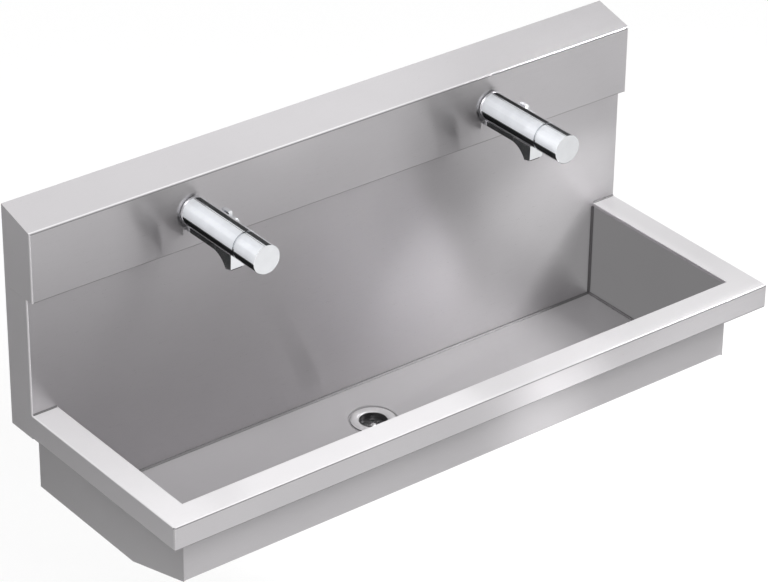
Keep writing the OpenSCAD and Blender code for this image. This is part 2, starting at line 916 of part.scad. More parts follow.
// Outline of the spout from the side
module spout_outline() {
    difference() {
        polygon([
            [-gasket_t, -groove_h],
            [-gasket_t, -spout_h],
            [-arc_d, -spout_h],
            [-outlet_back, -outlet_back_h],
            [-outlet_front, -outlet_h],
            [-spout_l, -groove_h]
        ]);
        translate([-arc_d, -spout_h - spout_r]) circle(spout_r, $fn = round_fn * 2);
    }
}

// Places what follows at the middle of the outlet's tilted end
module at_outlet() {
    translate([0, -(outlet_front + outlet_back) / 2, -(outlet_h + outlet_back_h) / 2])
        rotate([-outlet_tilt, 0, 0]) children();
}

// Spout saddled under the body, with the water way and the aerator's pocket
module tap_spout(side) {
    color("lightgray")
    at_tap(side)
        difference() {
            union() {
                along_x(spout_w) spout_outline();
                intersection() {
                    translate([-spout_w / 2, -spout_l, -spout_h])
                        cube([spout_w, spout_l - gasket_t, spout_h]);
                    bar(gasket_t, spout_l, tap_r + sheet_t);
                    translate([-water_r * 2, -spout_l, -spout_h])
                        cube([water_r * 4, spout_l, spout_h - groove_h + sheet_t]);
                }
            }
            bar(-cut, spout_l + cut, tap_r + run_gap);
            translate([0, -(outlet_front + outlet_back) / 2, -outlet_h])
                cylinder(outlet_h, water_r - hole_gap, water_r - hole_gap, $fn = round_fn);
            at_outlet()
                translate([-aerator_w / 2 - run_gap, -aerator_l / 2 - run_gap, -cut])
                    cube([aerator_w + 2 * run_gap, aerator_l + 2 * run_gap, aerator_in + cut]);
        }
}

module tap_aerator(side) {
    color("black")
    at_tap(side) at_outlet()
        translate([-aerator_w / 2, -aerator_l / 2, -aerator_out])
            cube([aerator_w, aerator_l, aerator_out + aerator_in]);
}

// Self-closing cartridge with a blind bore for the stem
module tap_cartridge(side) {
    end = body_l + neck_l - ring_t;
    color("dimgray")
    at_tap(side)
        difference() {
            bar(bore_start, end - cartridge_gap, bore_r - cartridge_gap);
            bar(end - stem_bore, end + cut, stem_r + run_gap);
        }
}

module cartridge_ring(side) {
    color("goldenrod")
    at_tap(side)
        translate([0, -(body_l + neck_l - ring_t), 0])
            outward() ring(bore_r - cartridge_gap, ring_r, ring_t);
}

// Push cap that slides over the neck
module push_cap(side) {
    start = tap_l - cap_l;
    color("lightgray")
    at_tap(side)
        difference() {
            union() {
                bar(start, tap_l - cap_edge, tap_r);
                translate([0, -(tap_l - cap_edge), 0])
                    outward() cylinder(cap_edge, tap_r, tap_r - cap_edge, $fn = round_fn);
            }
            bar(start - cut, tap_l - cap_wall, neck_r + run_gap);
        }
}

module cap_stem(side) {
    color("gray")
    at_tap(side) bar(body_l + neck_l - ring_t - stem_bite, tap_l - cap_wall, stem_r);
}

module cap_spring(side) {
    start = body_l + neck_l - ring_t - cartridge_gap;
    color("gray")
    at_tap(side)
        translate([0, -start, 0])
            outward() ring(spring_r, spring_in_r, tap_l - cap_wall - start);
}

// Lever outline from the tap's right: hub, arm back towards the wall and thumb tab
module lever_outline() {
    circle(lever_r, $fn = round_fn);
    translate([0, -arm_low]) square([lever_l, lever_r + arm_low]);
    translate([lever_l - tab_l, 0])
        polygon([[0, 0], [0, tab_h - tab_slope], [tab_slope, tab_h], [tab_l, tab_h], [tab_l, 0]]);
}

// Temperature lever with its shaft into the body
module lever(side) {
    color("lightgray")
    at_tap(side) translate([0, -lever_d, 0])
        difference() {
            union() {
                translate([hub_x, 0, 0]) rotate([90, 0, 90]) linear_extrude(lever_w) lever_outline();
                translate([shaft_in, 0, 0])
                    rotate([0, 90, 0])
                        cylinder(hub_x - shaft_in + sheet_t, shaft_r, shaft_r, $fn = round_fn);
            }
            translate([hub_x + lever_w - lever_screw_h, 0, 0])
                rotate([0, 90, 0])
                    cylinder(cut, lever_screw_r + run_gap, lever_screw_r + run_gap, $fn = round_fn);
        }
}

module lever_screw(side) {
    color("dimgray")
    at_tap(side) translate([hub_x + lever_w - lever_screw_h, -lever_d, 0])
        rotate([0, 90, 0]) cylinder(lever_screw_h, lever_screw_r, lever_screw_r, $fn = round_fn);
}

bowl_floor();
bowl_front();
bowl_end(-1);  // bowl_end_left
bowl_end(1);  // bowl_end_right
rim_frame();
splash_panel();
mounting_plates();
top_rail();
wall_bracket(-1);  // wall_bracket_left
wall_bracket(1);  // wall_bracket_right
lower_rail();
back_ribs();
service_cover();
cover_ends();
cover_brackets();
cover_screws();
waste_gasket_upper();
waste_flange();
waste_strainer();
waste_screw();
waste_gasket_lower();
waste_cup();
waste_tail();
cold_pipe();
hot_pipe();
pipe_plugs();
pipe_clips();
cold_inlet();
hot_inlet();
tail_nuts();
tap_body(-1);  // left_tap_body
tap_gasket(-1);  // left_tap_gasket
tap_spacer(-1);  // left_tap_spacer
tap_locknut(-1);  // left_tap_locknut
tap_tails(-1);  // left_tap_tails
tap_spout(-1);  // left_tap_spout
tap_aerator(-1);  // left_tap_aerator
tap_cartridge(-1);  // left_tap_cartridge
cartridge_ring(-1);  // left_cartridge_ring
push_cap(-1);  // left_push_cap
cap_stem(-1);  // left_cap_stem
cap_spring(-1);  // left_cap_spring
lever(-1);  // left_lever
lever_screw(-1);  // left_lever_screw
tap_body(1);  // right_tap_body
tap_gasket(1);  // right_tap_gasket
tap_spacer(1);  // right_tap_spacer
tap_locknut(1);  // right_tap_locknut
tap_tails(1);  // right_tap_tails
tap_spout(1);  // right_tap_spout
tap_aerator(1);  // right_tap_aerator
tap_cartridge(1);  // right_tap_cartridge
cartridge_ring(1);  // right_cartridge_ring
push_cap(1);  // right_push_cap
cap_stem(1);  // right_cap_stem
cap_spring(1);  // right_cap_spring
lever(1);  // right_lever
lever_screw(1);  // right_lever_screw
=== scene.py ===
import bpy
import bmesh
import json
import math
from mathutils import Matrix, Vector


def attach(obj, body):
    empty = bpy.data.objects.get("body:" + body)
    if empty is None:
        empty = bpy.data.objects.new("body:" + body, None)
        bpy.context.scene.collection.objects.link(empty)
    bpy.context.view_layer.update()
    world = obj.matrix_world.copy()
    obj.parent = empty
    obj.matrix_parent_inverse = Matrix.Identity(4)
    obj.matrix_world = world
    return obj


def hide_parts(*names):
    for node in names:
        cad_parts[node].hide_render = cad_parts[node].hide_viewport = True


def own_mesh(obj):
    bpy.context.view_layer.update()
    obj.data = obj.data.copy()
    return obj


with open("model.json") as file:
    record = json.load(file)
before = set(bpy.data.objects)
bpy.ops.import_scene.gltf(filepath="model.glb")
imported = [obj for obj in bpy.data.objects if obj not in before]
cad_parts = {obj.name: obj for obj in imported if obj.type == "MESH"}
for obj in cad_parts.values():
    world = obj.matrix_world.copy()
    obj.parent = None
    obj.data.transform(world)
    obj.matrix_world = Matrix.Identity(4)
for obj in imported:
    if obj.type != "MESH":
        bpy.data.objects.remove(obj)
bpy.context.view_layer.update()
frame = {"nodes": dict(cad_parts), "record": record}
print("frame loaded:", len(frame["nodes"]), "CAD nodes")

# camera

shot = {"place": (-2.94686, -3.92983, 2.85902), "lens": 160.30, "sensor": 36, "reach": 100,
        "right": (0.79023, -0.61271, 0.01102), "up": (0.30167, 0.40460, 0.86330),
        "back": (-0.53341, -0.67889, 0.50456)}


def addCamera(s):
    data = bpy.data.cameras.new("camera")
    data.sensor_width = s["sensor"]
    data.lens = s["lens"]
    data.clip_end = s["reach"]
    camera = bpy.data.objects.new("camera", data)
    turn = Matrix((s["right"], s["up"], s["back"])).transposed()
    camera.matrix_world = Matrix.Translation(s["place"]) @ turn.to_4x4()
    bpy.context.scene.collection.objects.link(camera)
    bpy.context.scene.camera = camera


addCamera(shot)
bpy.context.scene.view_settings.view_transform = "Standard"

# working helpers

samePlace = 0.00001  # coordinates closer than this count as the same
longEdge = 0.1       # only edges along the trough are longer
fit = 0.00005        # clearance of a turned fit
overrun = 0.002      # how far a cutter goes past what it cuts, or twice that


def putDown():
    if bpy.context.object and bpy.context.object.mode != "OBJECT":
        bpy.ops.object.mode_set(mode="OBJECT")
    bpy.ops.object.select_all(action="DESELECT")


def take(*pieces):
    putDown()
    for piece in pieces:
        piece.select_set(True)
    bpy.context.view_layer.objects.active = pieces[0]


# the new primitive gets its name, with its place moved into its mesh
def named(name):
    piece = bpy.context.object
    piece.name = name
    piece.data.name = name
    bpy.ops.object.transform_apply(location=True, rotation=True, scale=True)
    return piece


def addBlock(name, low, high):
    putDown()
    middle = [(a + b) / 2 for a, b in zip(low, high)]
    bpy.ops.mesh.primitive_cube_add(size=1, location=middle, scale=[b - a for a, b in zip(low, high)])
    return named(name)


# a flat rectangle between two corners that share one coordinate
def addPlane(name, low, high):
    putDown()
    middle = [(a + b) / 2 for a, b in zip(low, high)]
    size = [b - a for a, b in zip(low, high)]
    flat = size.index(min(size))
    turn = [(0, math.pi / 2, 0), (math.pi / 2, 0, 0), (0, 0, 0)][flat]
    scale = [(size[2], size[1], 1), (size[0], size[2], 1), (size[0], size[1], 1)][flat]
    bpy.ops.mesh.primitive_plane_add(size=1, location=middle, rotation=turn)
    bpy.context.object.scale = scale
    return named(name)


# a round cutter along x, y or z, about its middle
def addDrill(radius, depth, middle, along="z", sides=48):
    putDown()
    turn = {"x": (0, math.pi / 2, 0), "y": (math.pi / 2, 0, 0), "z": (0, 0, 0)}[along]
    bpy.ops.mesh.primitive_cylinder_add(vertices=sides, radius=radius, depth=depth, location=middle,
                                        rotation=turn)
    return named("drill")


def edit(piece, kind):
    take(piece)
    bpy.ops.object.mode_set(mode="EDIT")
    bpy.ops.mesh.select_mode(type=kind)
    bpy.ops.mesh.select_all(action="DESELECT")


def done():
    bpy.ops.object.mode_set(mode="OBJECT")


# test gets a face's middle and normal
def pickFaces(piece, test):
    mesh = bmesh.from_edit_mesh(piece.data)
    for face in mesh.faces:
        face.select_set(bool(test(face.calc_center_median(), face.normal)))
    mesh.select_flush_mode()
    bmesh.update_edit_mesh(piece.data)


# test gets an edge's two ends; openOnly leaves out edges between two faces
def pickEdges(piece, test, openOnly=False):
    mesh = bmesh.from_edit_mesh(piece.data)
    found = 0
    for edge in mesh.edges:
        hit = bool(test(edge.verts[0].co, edge.verts[1].co)) and not (openOnly and len(edge.link_faces) != 1)
        edge.select_set(hit)
        found += hit
    mesh.select_flush_mode()
    bmesh.update_edit_mesh(piece.data)
    if not found:
        print("no edge found on", piece.name)


def near(a, b, tolerance=samePlace):
    return abs(a - b) < tolerance


# whether both ends of an edge have the coordinates given, as in edgeAt(a, b, y=0, z=top)
def edgeAt(a, b, **where):
    return all(near(getattr(end, axis), value) for end in (a, b) for axis, value in where.items())


def extrude(move):
    bpy.ops.mesh.extrude_region_move(TRANSFORM_OT_translate={"value": move})


def deleteFaces(piece, test):
    bpy.ops.mesh.select_mode(type="FACE")
    pickFaces(piece, test)
    bpy.ops.mesh.delete(type="FACE")
    bpy.ops.mesh.select_mode(type="EDGE")


def bisectAll(place, normal):
    bpy.ops.mesh.select_all(action="SELECT")
    bpy.ops.mesh.bisect(plane_co=place, plane_no=normal)


# on a closed mesh this turns all faces outwards, on an open one it turns them alike
def evenNormals():
    bpy.ops.mesh.select_all(action="SELECT")
    bpy.ops.mesh.normals_make_consistent(inside=False)


def roundEdges(piece, test, radius, steps):
    edit(piece, "EDGE")
    pickEdges(piece, test)
    bpy.ops.mesh.bevel(offset=radius, offset_type="OFFSET", segments=steps, profile=0.5, affect="EDGES")
    done()


def modify(piece, kind, **settings):
    take(piece)
    bpy.ops.object.modifier_add(type=kind)
    modifier = piece.modifiers[-1]
    for key, value in settings.items():
        setattr(modifier, key, value)
    bpy.ops.object.modifier_apply(modifier=modifier.name)


def cutWith(piece, *tools):
    for tool in tools:
        modify(piece, "BOOLEAN", operation="DIFFERENCE", solver="EXACT", object=tool)
        bpy.data.objects.remove(tool)


def fuse(piece, other):
    modify(piece, "BOOLEAN", operation="UNION", solver="EXACT", object=other)
    bpy.data.objects.remove(other)


def giveWall(piece, thickness):
    modify(piece, "SOLIDIFY", thickness=thickness, offset=-1, use_even_offset=True)


def roundAll(piece, width, steps, angle):
    modify(piece, "BEVEL", width=width, segments=steps, limit_method="ANGLE", angle_limit=math.radians(angle))


def softenNormals(piece, angle=32):
    take(piece)
    bpy.ops.object.shade_smooth_by_angle(angle=math.radians(angle))
    modify(piece, "WEIGHTED_NORMAL", keep_sharp=True, weight=80)


# an open sheet is flipped where more of it looks away from the direction
def faceTowards(piece, direction):
    if sum(f.area * f.normal.dot(Vector(direction)) for f in piece.data.polygons) < 0:
        piece.data.flip_normals()


# a turned piece: (distance along the axis, radius) from one end to the other, where a radius of 0 closes an end
def turned(name, place, axis, profile, sides=96, ring=False):
    putDown()
    place, axis = Vector(place), Vector(axis).normalized()
    capped = profile[0][1] == 0
    steps = profile[1:] if capped else list(profile)
    if ring:
        steps = steps + [steps[0]]
    first = steps[0][1]
    bpy.ops.mesh.primitive_circle_add(vertices=sides, radius=first, fill_type="TRIFAN" if capped else "NOTHING",
                                      location=place + axis * steps[0][0],
                                      rotation=axis.to_track_quat("Z", "Y").to_euler())
    piece = named(name)
    edit(piece, "EDGE")
    pickEdges(piece, lambda a, b: near(((a + b) / 2 - place).cross(axis).length, first, first * 0.02))
    for (d0, r0), (d1, r1) in zip(steps, steps[1:]):
        extrude(axis * (d1 - d0))
        if r1 == 0:
            bpy.ops.mesh.merge(type="CENTER")
            break
        if r1 != r0:
            bpy.ops.transform.resize(value=(r1 / r0,) * 3, center_override=place + axis * d1)
    bpy.ops.mesh.select_all(action="SELECT")
    bpy.ops.mesh.remove_doubles(threshold=0.000002)
    evenNormals()
    done()
    return piece


def addRod(place, axis, start, end, radius, sides):
    return turned("rod", place, axis, [(start, 0), (start, radius), (end, radius), (end, 0)], sides)


def copyOf(piece, name, move):
    other = piece.copy()
    other.data = piece.data.copy()
    other.name = name
    other.data.name = name
    other.data.transform(Matrix.Translation(move))
    bpy.context.scene.collection.objects.link(other)
    return other


# the same piece on the other side of the middle
def mirrored(piece, name):
    other = copyOf(piece, name, (0, 0, 0))
    other.data.transform(Matrix.Scale(-1, 4, (1, 0, 0)))
    other.data.flip_normals()
    return other


# a finished piece gets its finish, its body and the CAD nodes it stands for
def hand(piece, body, slot, *nodes):
    piece.data.materials.clear()
    piece.data.materials.append(finishes[slot])
    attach(piece, body)
    if nodes:
        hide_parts(*nodes)


# faces that test picks get another finish of the same metal
def finishFaces(piece, finish, test):
    piece.data.materials.append(finish)
    for face in piece.data.polygons:
        if test(face.center, face.normal):
            face.material_index = len(piece.data.materials) - 1


# finishes


# short way to wire a material's nodes
class Nodes:
    def __init__(self, name):
        self.material = bpy.data.materials.new(name)
        self.material.use_nodes = True
        self.tree = self.material.node_tree
        self.shader = self.tree.nodes["Principled BSDF"]

    def wire(self, source, target):
        self.tree.links.new(source, target)

    def shade(self, **settings):
        for key, value in settings.items():
            self.shader.inputs[key.replace("_", " ")].default_value = value

    def add(self, kind, **settings):
        node = self.tree.nodes.new(kind)
        for key, value in settings.items():
            if key in node.inputs:
                node.inputs[key].default_value = value
            else:
                setattr(node, key, value)
        return node

    def noise(self, place, **settings):
        node = self.add("ShaderNodeTexNoise", **settings)
        self.wire(place, node.inputs["Vector"])
        return node.outputs["Fac"]

    # a value between low and high is laid out between toLow and toHigh
    def spread(self, source, low, high, toLow, toHigh):
        node = self.add("ShaderNodeMapRange",
                        **{"From Min": low, "From Max": high, "To Min": toLow, "To Max": toHigh})
        self.wire(source, node.inputs["Value"])
        return node.outputs["Result"]

    def tint(self, colour, source):
        node = self.add("ShaderNodeVectorMath", operation="SCALE")
        node.inputs[0].default_value = colour
        self.wire(source, node.inputs["Scale"])
        self.wire(node.outputs["Vector"], self.shader.inputs["Base Color"])

    def bump(self, source, strength, height):
        node = self.add("ShaderNodeBump", Strength=strength, Distance=height)
        self.wire(source, node.inputs["Height"])
        self.wire(node.outputs["Normal"], self.shader.inputs["Normal"])


sheetGrain = {"along": (1, 60, 60), "scale": 38, "detail": 5, "contrast": 0.72, "tint": 0.035, "clouds": 5.5,
              "cloudTint": 0.015, "direction": (0, 0.2, 1), "strength": 0.35, "height": 0.00002}


# satin sheet with fine scratches along the trough and faint clouds
def brushedSteel(name, colour, roughness, grain, anisotropy, metal=1.0):
    n, g = Nodes(name), sheetGrain
    place = n.add("ShaderNodeTexCoord").outputs["Object"]
    stretch = n.add("ShaderNodeMapping", Scale=g["along"])
    n.wire(place, stretch.inputs["Vector"])
    scratches = n.noise(stretch.outputs["Vector"], Scale=g["scale"], Detail=g["detail"],
                        Roughness=g["contrast"])
    clouds = n.noise(place, Scale=g["clouds"], Detail=3)
    n.wire(n.spread(scratches, 0.3, 0.7, roughness - grain, roughness + grain), n.shader.inputs["Roughness"])
    both = n.add("ShaderNodeMath", operation="MULTIPLY")
    n.wire(n.spread(scratches, 0.25, 0.75, 1 - g["tint"], 1 + g["tint"]), both.inputs[0])
    n.wire(n.spread(clouds, 0.3, 0.7, 1 - g["cloudTint"], 1 + g["cloudTint"]), both.inputs[1])
    n.tint(colour, both.outputs["Value"])
    n.shade(Metallic=metal, Anisotropic=anisotropy)
    across = n.add("ShaderNodeCombineXYZ", **dict(zip("XYZ", g["direction"])))
    n.wire(across.outputs["Vector"], n.shader.inputs["Tangent"])
    n.bump(scratches, g["strength"], g["height"])
    return n.material


# plated, drawn or machined metal with faint uneven gloss
def plainMetal(name, colour, roughness, spread=0.04, scale=120, metal=1.0):
    n = Nodes(name)
    spots = n.noise(n.add("ShaderNodeTexCoord").outputs["Object"], Scale=scale, Detail=4)
    gloss = n.spread(spots, 0.3, 0.7, max(0.02, roughness - spread), roughness + spread)
    n.wire(gloss, n.shader.inputs["Roughness"])
    n.tint(colour, n.spread(spots, 0.3, 0.7, 0.97, 1.03))
    n.shade(Metallic=metal)
    return n.material


# rubber or moulded plastic with a fine grain
def moulded(name, colour, roughness, scale=900):
    n = Nodes(name)
    grain = n.noise(n.add("ShaderNodeTexCoord").outputs["Object"], Scale=scale, Detail=3)
    n.tint(colour, n.spread(grain, 0, 1, 0.85, 1.15))
    n.shade(Roughness=roughness)
    n.bump(grain, 0.5, 0.00004)
    return n.material


# one finish for each slot of the record
finishes = {
    "sheet_steel": brushedSteel("sheet_steel", (0.575, 0.561, 0.575), 0.31, 0.04, 1.0),
    "bracket_steel": brushedSteel("bracket_steel", (0.44, 0.445, 0.45), 0.42, 0.08, 0.3),
    "waste_steel": plainMetal("waste_steel", (0.60, 0.592, 0.60), 0.4, 0.05, 120, 0.5),
    "bright_steel": plainMetal("bright_steel", (0.62, 0.62, 0.62), 0.25),
    "tap_chrome": plainMetal("tap_chrome", (0.80, 0.81, 0.83), 0.13, 0.02, 60),
    "brass_fittings": plainMetal("brass_fittings", (0.72, 0.55, 0.27), 0.28, 0.08),
    "copper_tube": plainMetal("copper_tube", (0.72, 0.42, 0.28), 0.32, 0.1, 40),
    "black_rubber": moulded("black_rubber", (0.03, 0.03, 0.03), 0.7),
    "black_plastic": moulded("black_plastic", (0.02, 0.02, 0.021), 0.45),
    "grey_plastic": moulded("grey_plastic", (0.55, 0.56, 0.57), 0.5, 500)}

# the sheet's other finishes: darker and brighter copies of the sheet steel, most also rougher and less
# metallic, that paint shade and highlight on parts of the trough
# bowl floor: painted shade, a darker copy of the sheet steel that is also rougher and more matte
bowlShadeSteel = brushedSteel("sheet_steel_bowl_painted_shade", (0.40, 0.389, 0.40), 0.46, 0.04, 0.7, 0.24)
# bowl front: painted shade, a darker copy of the sheet steel with more matte share
frontShadeSteel = brushedSteel("sheet_steel_front_painted_shade", (0.47, 0.458, 0.47), 0.33, 0.05, 1.0, 0.65)
# bowl ends and the rim's upright corner folds: painted shade, a darker copy of the sheet steel
endShadeSteel = brushedSteel("sheet_steel_end_painted_shade", (0.455, 0.445, 0.455), 0.34, 0.05, 0.9)
# upward tops of the rim and the cover's top fold: painted highlight, a brighter copy of the sheet steel with a
# more diffuse satin finish
topHighlightSteel = brushedSteel("sheet_steel_top_painted_highlight", (0.735, 0.722, 0.735), 0.34, 0.04, 1.0, 0.33)
# folds on the rim and cover: painted shade, a dark copy of the sheet steel
foldShadeSteel = brushedSteel("sheet_steel_fold_painted_shade", (0.26, 0.254, 0.26), 0.36, 0.04, 0.8, 0.8)
# welds and the rim's mitre: a dark copy of the sheet steel, partly the weld's own tone and partly painted shade
# in the corners
weldShadeSteel = brushedSteel("sheet_steel_weld_painted_shade", (0.15, 0.147, 0.15), 0.42, 0.05, 0.3, 0.8)
# drain well, strainer and flange edge: painted shade, a dark copy of the waste steel
wellShadeSteel = plainMetal("waste_steel_well_painted_shade", (0.17, 0.168, 0.172), 0.32, 0.05)

slots = {part["node"]: part["material_slot"] for part in frame["record"]["subparts"]}
for nodeName, node in frame["nodes"].items():
    node.data.materials.clear()
    node.data.materials.append(finishes[slots[nodeName]])
print("finishes made:", len(finishes))

# service cover

cover = {"halfWidth": 0.6, "depth": 0.0765, "low": 0.209, "frontTop": 0.331, "backTop": 0.351, "sheet": 0.0012,
         "fold": 0.003, "lip": 0.0163, "lipFold": 0.0018, "rearLip": 0.027,
         "screwX": (-0.48, -0.16, 0.16, 0.48), "screwY": -0.06605, "screwHole": 0.0025,
         "tapX": (-0.3, 0.3), "tapHeight": 0.2745, "tapHole": 0.0155}


def makeCover(c):
    front, foldStart = -c["depth"], c["frontTop"] - c["fold"]
    piece = addBlock("coverShell", (-c["halfWidth"], front, c["low"]), (c["halfWidth"], 0, c["backTop"]))
    edit(piece, "EDGE")
    pickEdges(piece, lambda a, b: edgeAt(a, b, y=front, z=c["backTop"]))
    bpy.ops.transform.translate(value=(0, 0, c["frontTop"] - c["backTop"]))
    deleteFaces(piece, lambda m, normal: normal.z < -0.9 or normal.y > 0.9)
    done()
    # front, ends and top share three folds
    roundEdges(piece, lambda a, b: edgeAt(a, b, y=front) and (near(a.x, b.x) or edgeAt(a, b, z=c["frontTop"])),
               c["fold"], 5)
    # lower lip, turned in under the front, and rear lip, turned down at the wall
    edit(piece, "EDGE")
    pickEdges(piece, lambda a, b: edgeAt(a, b, y=front, z=c["low"])
              and abs(a.x) < c["halfWidth"] - c["fold"] / 2, True)
    extrude((0, c["lip"], 0))
    pickEdges(piece, lambda a, b: edgeAt(a, b, y=0, z=c["backTop"]), True)
    extrude((0, 0, -c["rearLip"]))
    done()
    roundEdges(piece, lambda a, b: edgeAt(a, b, y=front, z=c["low"]) and abs(a.x - b.x) > longEdge,
               c["lipFold"], 3)
    giveWall(piece, c["sheet"])
    tools = [addDrill(c["tapHole"], depth=0.02, middle=(x, front, c["tapHeight"]), along="y")
             for x in c["tapX"]]
    tools += [addDrill(c["screwHole"], depth=0.006, middle=(x, c["screwY"], c["low"]), sides=24)
              for x in c["screwX"]]
    cutWith(piece, *tools)
    softenNormals(piece)
    hand(piece, "sink", "sheet_steel", "service_cover", "cover_ends")
    # the top fold gets a brighter copy above as painted highlight and a darker copy below as painted shade, the
    # bottom fold a darker copy as painted shade
    finishFaces(piece, topHighlightSteel,
                lambda m, normal: m.z > foldStart and normal.y < -0.3 and 0.7 < normal.z < 0.95)
    # the fold's lower faces get the dark copy as painted shade
    finishFaces(piece, foldShadeSteel, lambda m, normal: m.y < front + c["fold"] and normal.y < -0.3
                and (0.1 < normal.z < 0.6 and m.z > foldStart or normal.z < -0.1 and m.z < c["low"] + 0.002))


makeCover(cover)
print("service cover made")

# splash panel

splash = {"halfWidth": 0.6, "face": 0.06, "top": 0.2088, "upperTop": 0.2265, "bowlHalf": 0.552,
          "bowlLow": 0.1817, "fold": 0.003, "sheet": 0.0012}


def makeSplash(s):
    front = -s["face"]
    piece = addPlane("splashPanel", (-s["halfWidth"], front, 0), (s["halfWidth"], front, s["top"]))
    edit(piece, "EDGE")
    for side in (-1, 1):
        pickEdges(piece, lambda a, b: edgeAt(a, b, x=side * s["halfWidth"], y=front))
        extrude((0, s["face"], 0))
    done()
    roundEdges(piece, lambda a, b: edgeAt(a, b, y=front) and near(a.x, b.x), s["fold"], 5)
    # down to the bowl's floor between its ends, and up behind the cover
    edit(piece, "EDGE")
    for x in (-s["bowlHalf"], s["bowlHalf"]):
        bisectAll((x, 0, 0), (1, 0, 0))
    pickEdges(piece, lambda a, b: edgeAt(a, b, y=front, z=0) and abs((a.x + b.x) / 2) < s["bowlHalf"], True)
    extrude((0, 0, -s["bowlLow"]))
    pickEdges(piece, lambda a, b: edgeAt(a, b, y=front, z=s["top"]), True)
    extrude((0, 0, s["upperTop"] - s["top"]))
    evenNormals()
    done()
    faceTowards(piece, (0, -1, 0))
    giveWall(piece, s["sheet"])
    softenNormals(piece)
    hand(piece, "sink", "sheet_steel", "splash_panel")


makeSplash(splash)
print("splash panel made")

# rim

rim = {"halfWidth": 0.6, "depth": 0.448, "splashFace": 0.06, "bowlHalf": 0.552, "bowlDepth": 0.4,
       "apron": 0.043, "lip": 0.014, "fold": 0.003, "innerFold": 0.002, "innerTurn": 0.006, "sheet": 0.0012}


def makeRim(r):
    def inner(a, b):
        return all(abs(end.x) < r["bowlHalf"] + samePlace and end.y > -r["bowlDepth"] - samePlace
                   for end in (a, b))

    def outer(a, b):
        return near(abs(a.x), r["halfWidth"]) and near(a.x, b.x) or edgeAt(a, b, y=-r["depth"])

    piece = addPlane("rim", (-r["halfWidth"], -r["depth"], 0), (r["halfWidth"], -r["splashFace"], 0))
    edit(piece, "EDGE")
    bisectAll((-r["bowlHalf"], 0, 0), (1, 0, 0))
    bisectAll((r["bowlHalf"], 0, 0), (1, 0, 0))
    bisectAll((0, -r["bowlDepth"], 0), (0, 1, 0))
    deleteFaces(piece, lambda m, normal: abs(m.x) < r["bowlHalf"] and m.y > -r["bowlDepth"])
    pickEdges(piece, inner, True)
    extrude((0, 0, -r["innerTurn"]))
    # apron, and its lip turned in below
    pickEdges(piece, lambda a, b: edgeAt(a, b, z=0) and outer(a, b), True)
    extrude((0, 0, -r["apron"]))
    pickEdges(piece, lambda a, b: edgeAt(a, b, z=-r["apron"]) and outer(a, b), True)
    extrude((0, 0, 0))
    wide, reach = r["halfWidth"], r["depth"] - r["splashFace"]
    bpy.ops.transform.resize(value=((wide - r["lip"]) / wide, (reach - r["lip"]) / reach, 1),
                             center_override=(0, -r["splashFace"], -r["apron"]))
    evenNormals()
    done()
    faceTowards(piece, (0, 0, 1))
    roundEdges(piece, lambda a, b: outer(a, b) and (edgeAt(a, b, z=0) or edgeAt(a, b, z=-r["apron"])
                                                    or edgeAt(a, b, y=-r["depth"]) and near(a.x, b.x)),
               r["fold"], 5)
    roundEdges(piece, lambda a, b: edgeAt(a, b, z=0) and inner(a, b), r["innerFold"], 4)
    # side aprons run on to the wall
    sides = []
    for x in (-r["halfWidth"], r["halfWidth"]):
        sides.append(addPlane("rimEnd", (x, -r["splashFace"], -r["apron"]), (x, 0, 0)))
        faceTowards(sides[-1], (x, 0, 0))
    take(piece, *sides)
    bpy.ops.object.join()
    giveWall(piece, r["sheet"])
    softenNormals(piece)
    hand(piece, "sink", "sheet_steel", "rim_frame")
    # the top gets a brighter copy as painted highlight, the folds a darker copy as painted shade, the mitred
    # corners a dark weld mark that is partly painted shade, and the upright corner folds the ends' darker copy
    # as painted shade
    mitre = r["fold"] * 0.9
    finishFaces(piece, topHighlightSteel, lambda m, normal: m.z > -r["fold"] and normal.z > 0.6)
    # the mitred corner gets the dark weld copy, partly painted shade
    finishFaces(piece, weldShadeSteel, lambda m, normal: m.z > -r["fold"] and m.y < mitre - r["depth"]
                and abs(m.x) > r["halfWidth"] - mitre and 0.1 < normal.z < 0.8)
    # the upright corner folds get the ends' darker copy as painted shade over their highlight
    finishFaces(piece, endShadeSteel,
                lambda m, normal: abs(normal.z) < 0.2 and normal.y < -0.3 and abs(normal.x) > 0.3)
    # the fold faces get the dark copy as painted shade
    finishFaces(piece, foldShadeSteel, lambda m, normal:
                m.z > -r["fold"] and normal.y < -0.7 and 0.1 < normal.z < 0.6
                or m.z < r["fold"] - r["apron"] and -0.8 < normal.z < -0.1
                and (normal.y < -0.3 or abs(normal.x) > 0.3))


makeRim(rim)
print("rim made")

# bowl

bowl = {"half": 0.552, "depth": 0.4, "top": -0.006, "frontLow": -0.1415, "floor": -0.1805, "floorFront": 0.262,
        "splashFace": 0.06, "fall": 0.007, "drain": 0.155, "seatRadius": 0.0421, "seat": -0.189,
        "seatTaper": 0.985, "seatFold": 0.0009, "holeRadius": 0.0259, "sheet": 0.0012, "bend": 0.003}
weld = {"size": 0.0034, "rimSize": 0.0024, "rimGap": 0.002, "rimStop": 0.0025, "rimSunk": 0.0002,
        "hollow": 0.92, "curve": 0.2}


def makeBowlFront(b):
    piece = addPlane("bowlFront", (-b["half"], -b["depth"], b["frontLow"]), (b["half"], -b["depth"], b["top"]))
    edit(piece, "EDGE")
    pickEdges(piece, lambda p, q: edgeAt(p, q, z=b["frontLow"]))
    extrude((0, b["depth"] - b["floorFront"], b["floor"] - b["frontLow"]))
    done()
    roundEdges(piece, lambda p, q: edgeAt(p, q, z=b["frontLow"]), b["bend"], 5)
    faceTowards(piece, (0, 1, 0))
    giveWall(piece, b["sheet"])
    softenNormals(piece)
    hand(piece, "sink", "sheet_steel", "bowl_front")
    # the front gets the darker copy as painted shade
    piece.data.materials[0] = frontShadeSteel


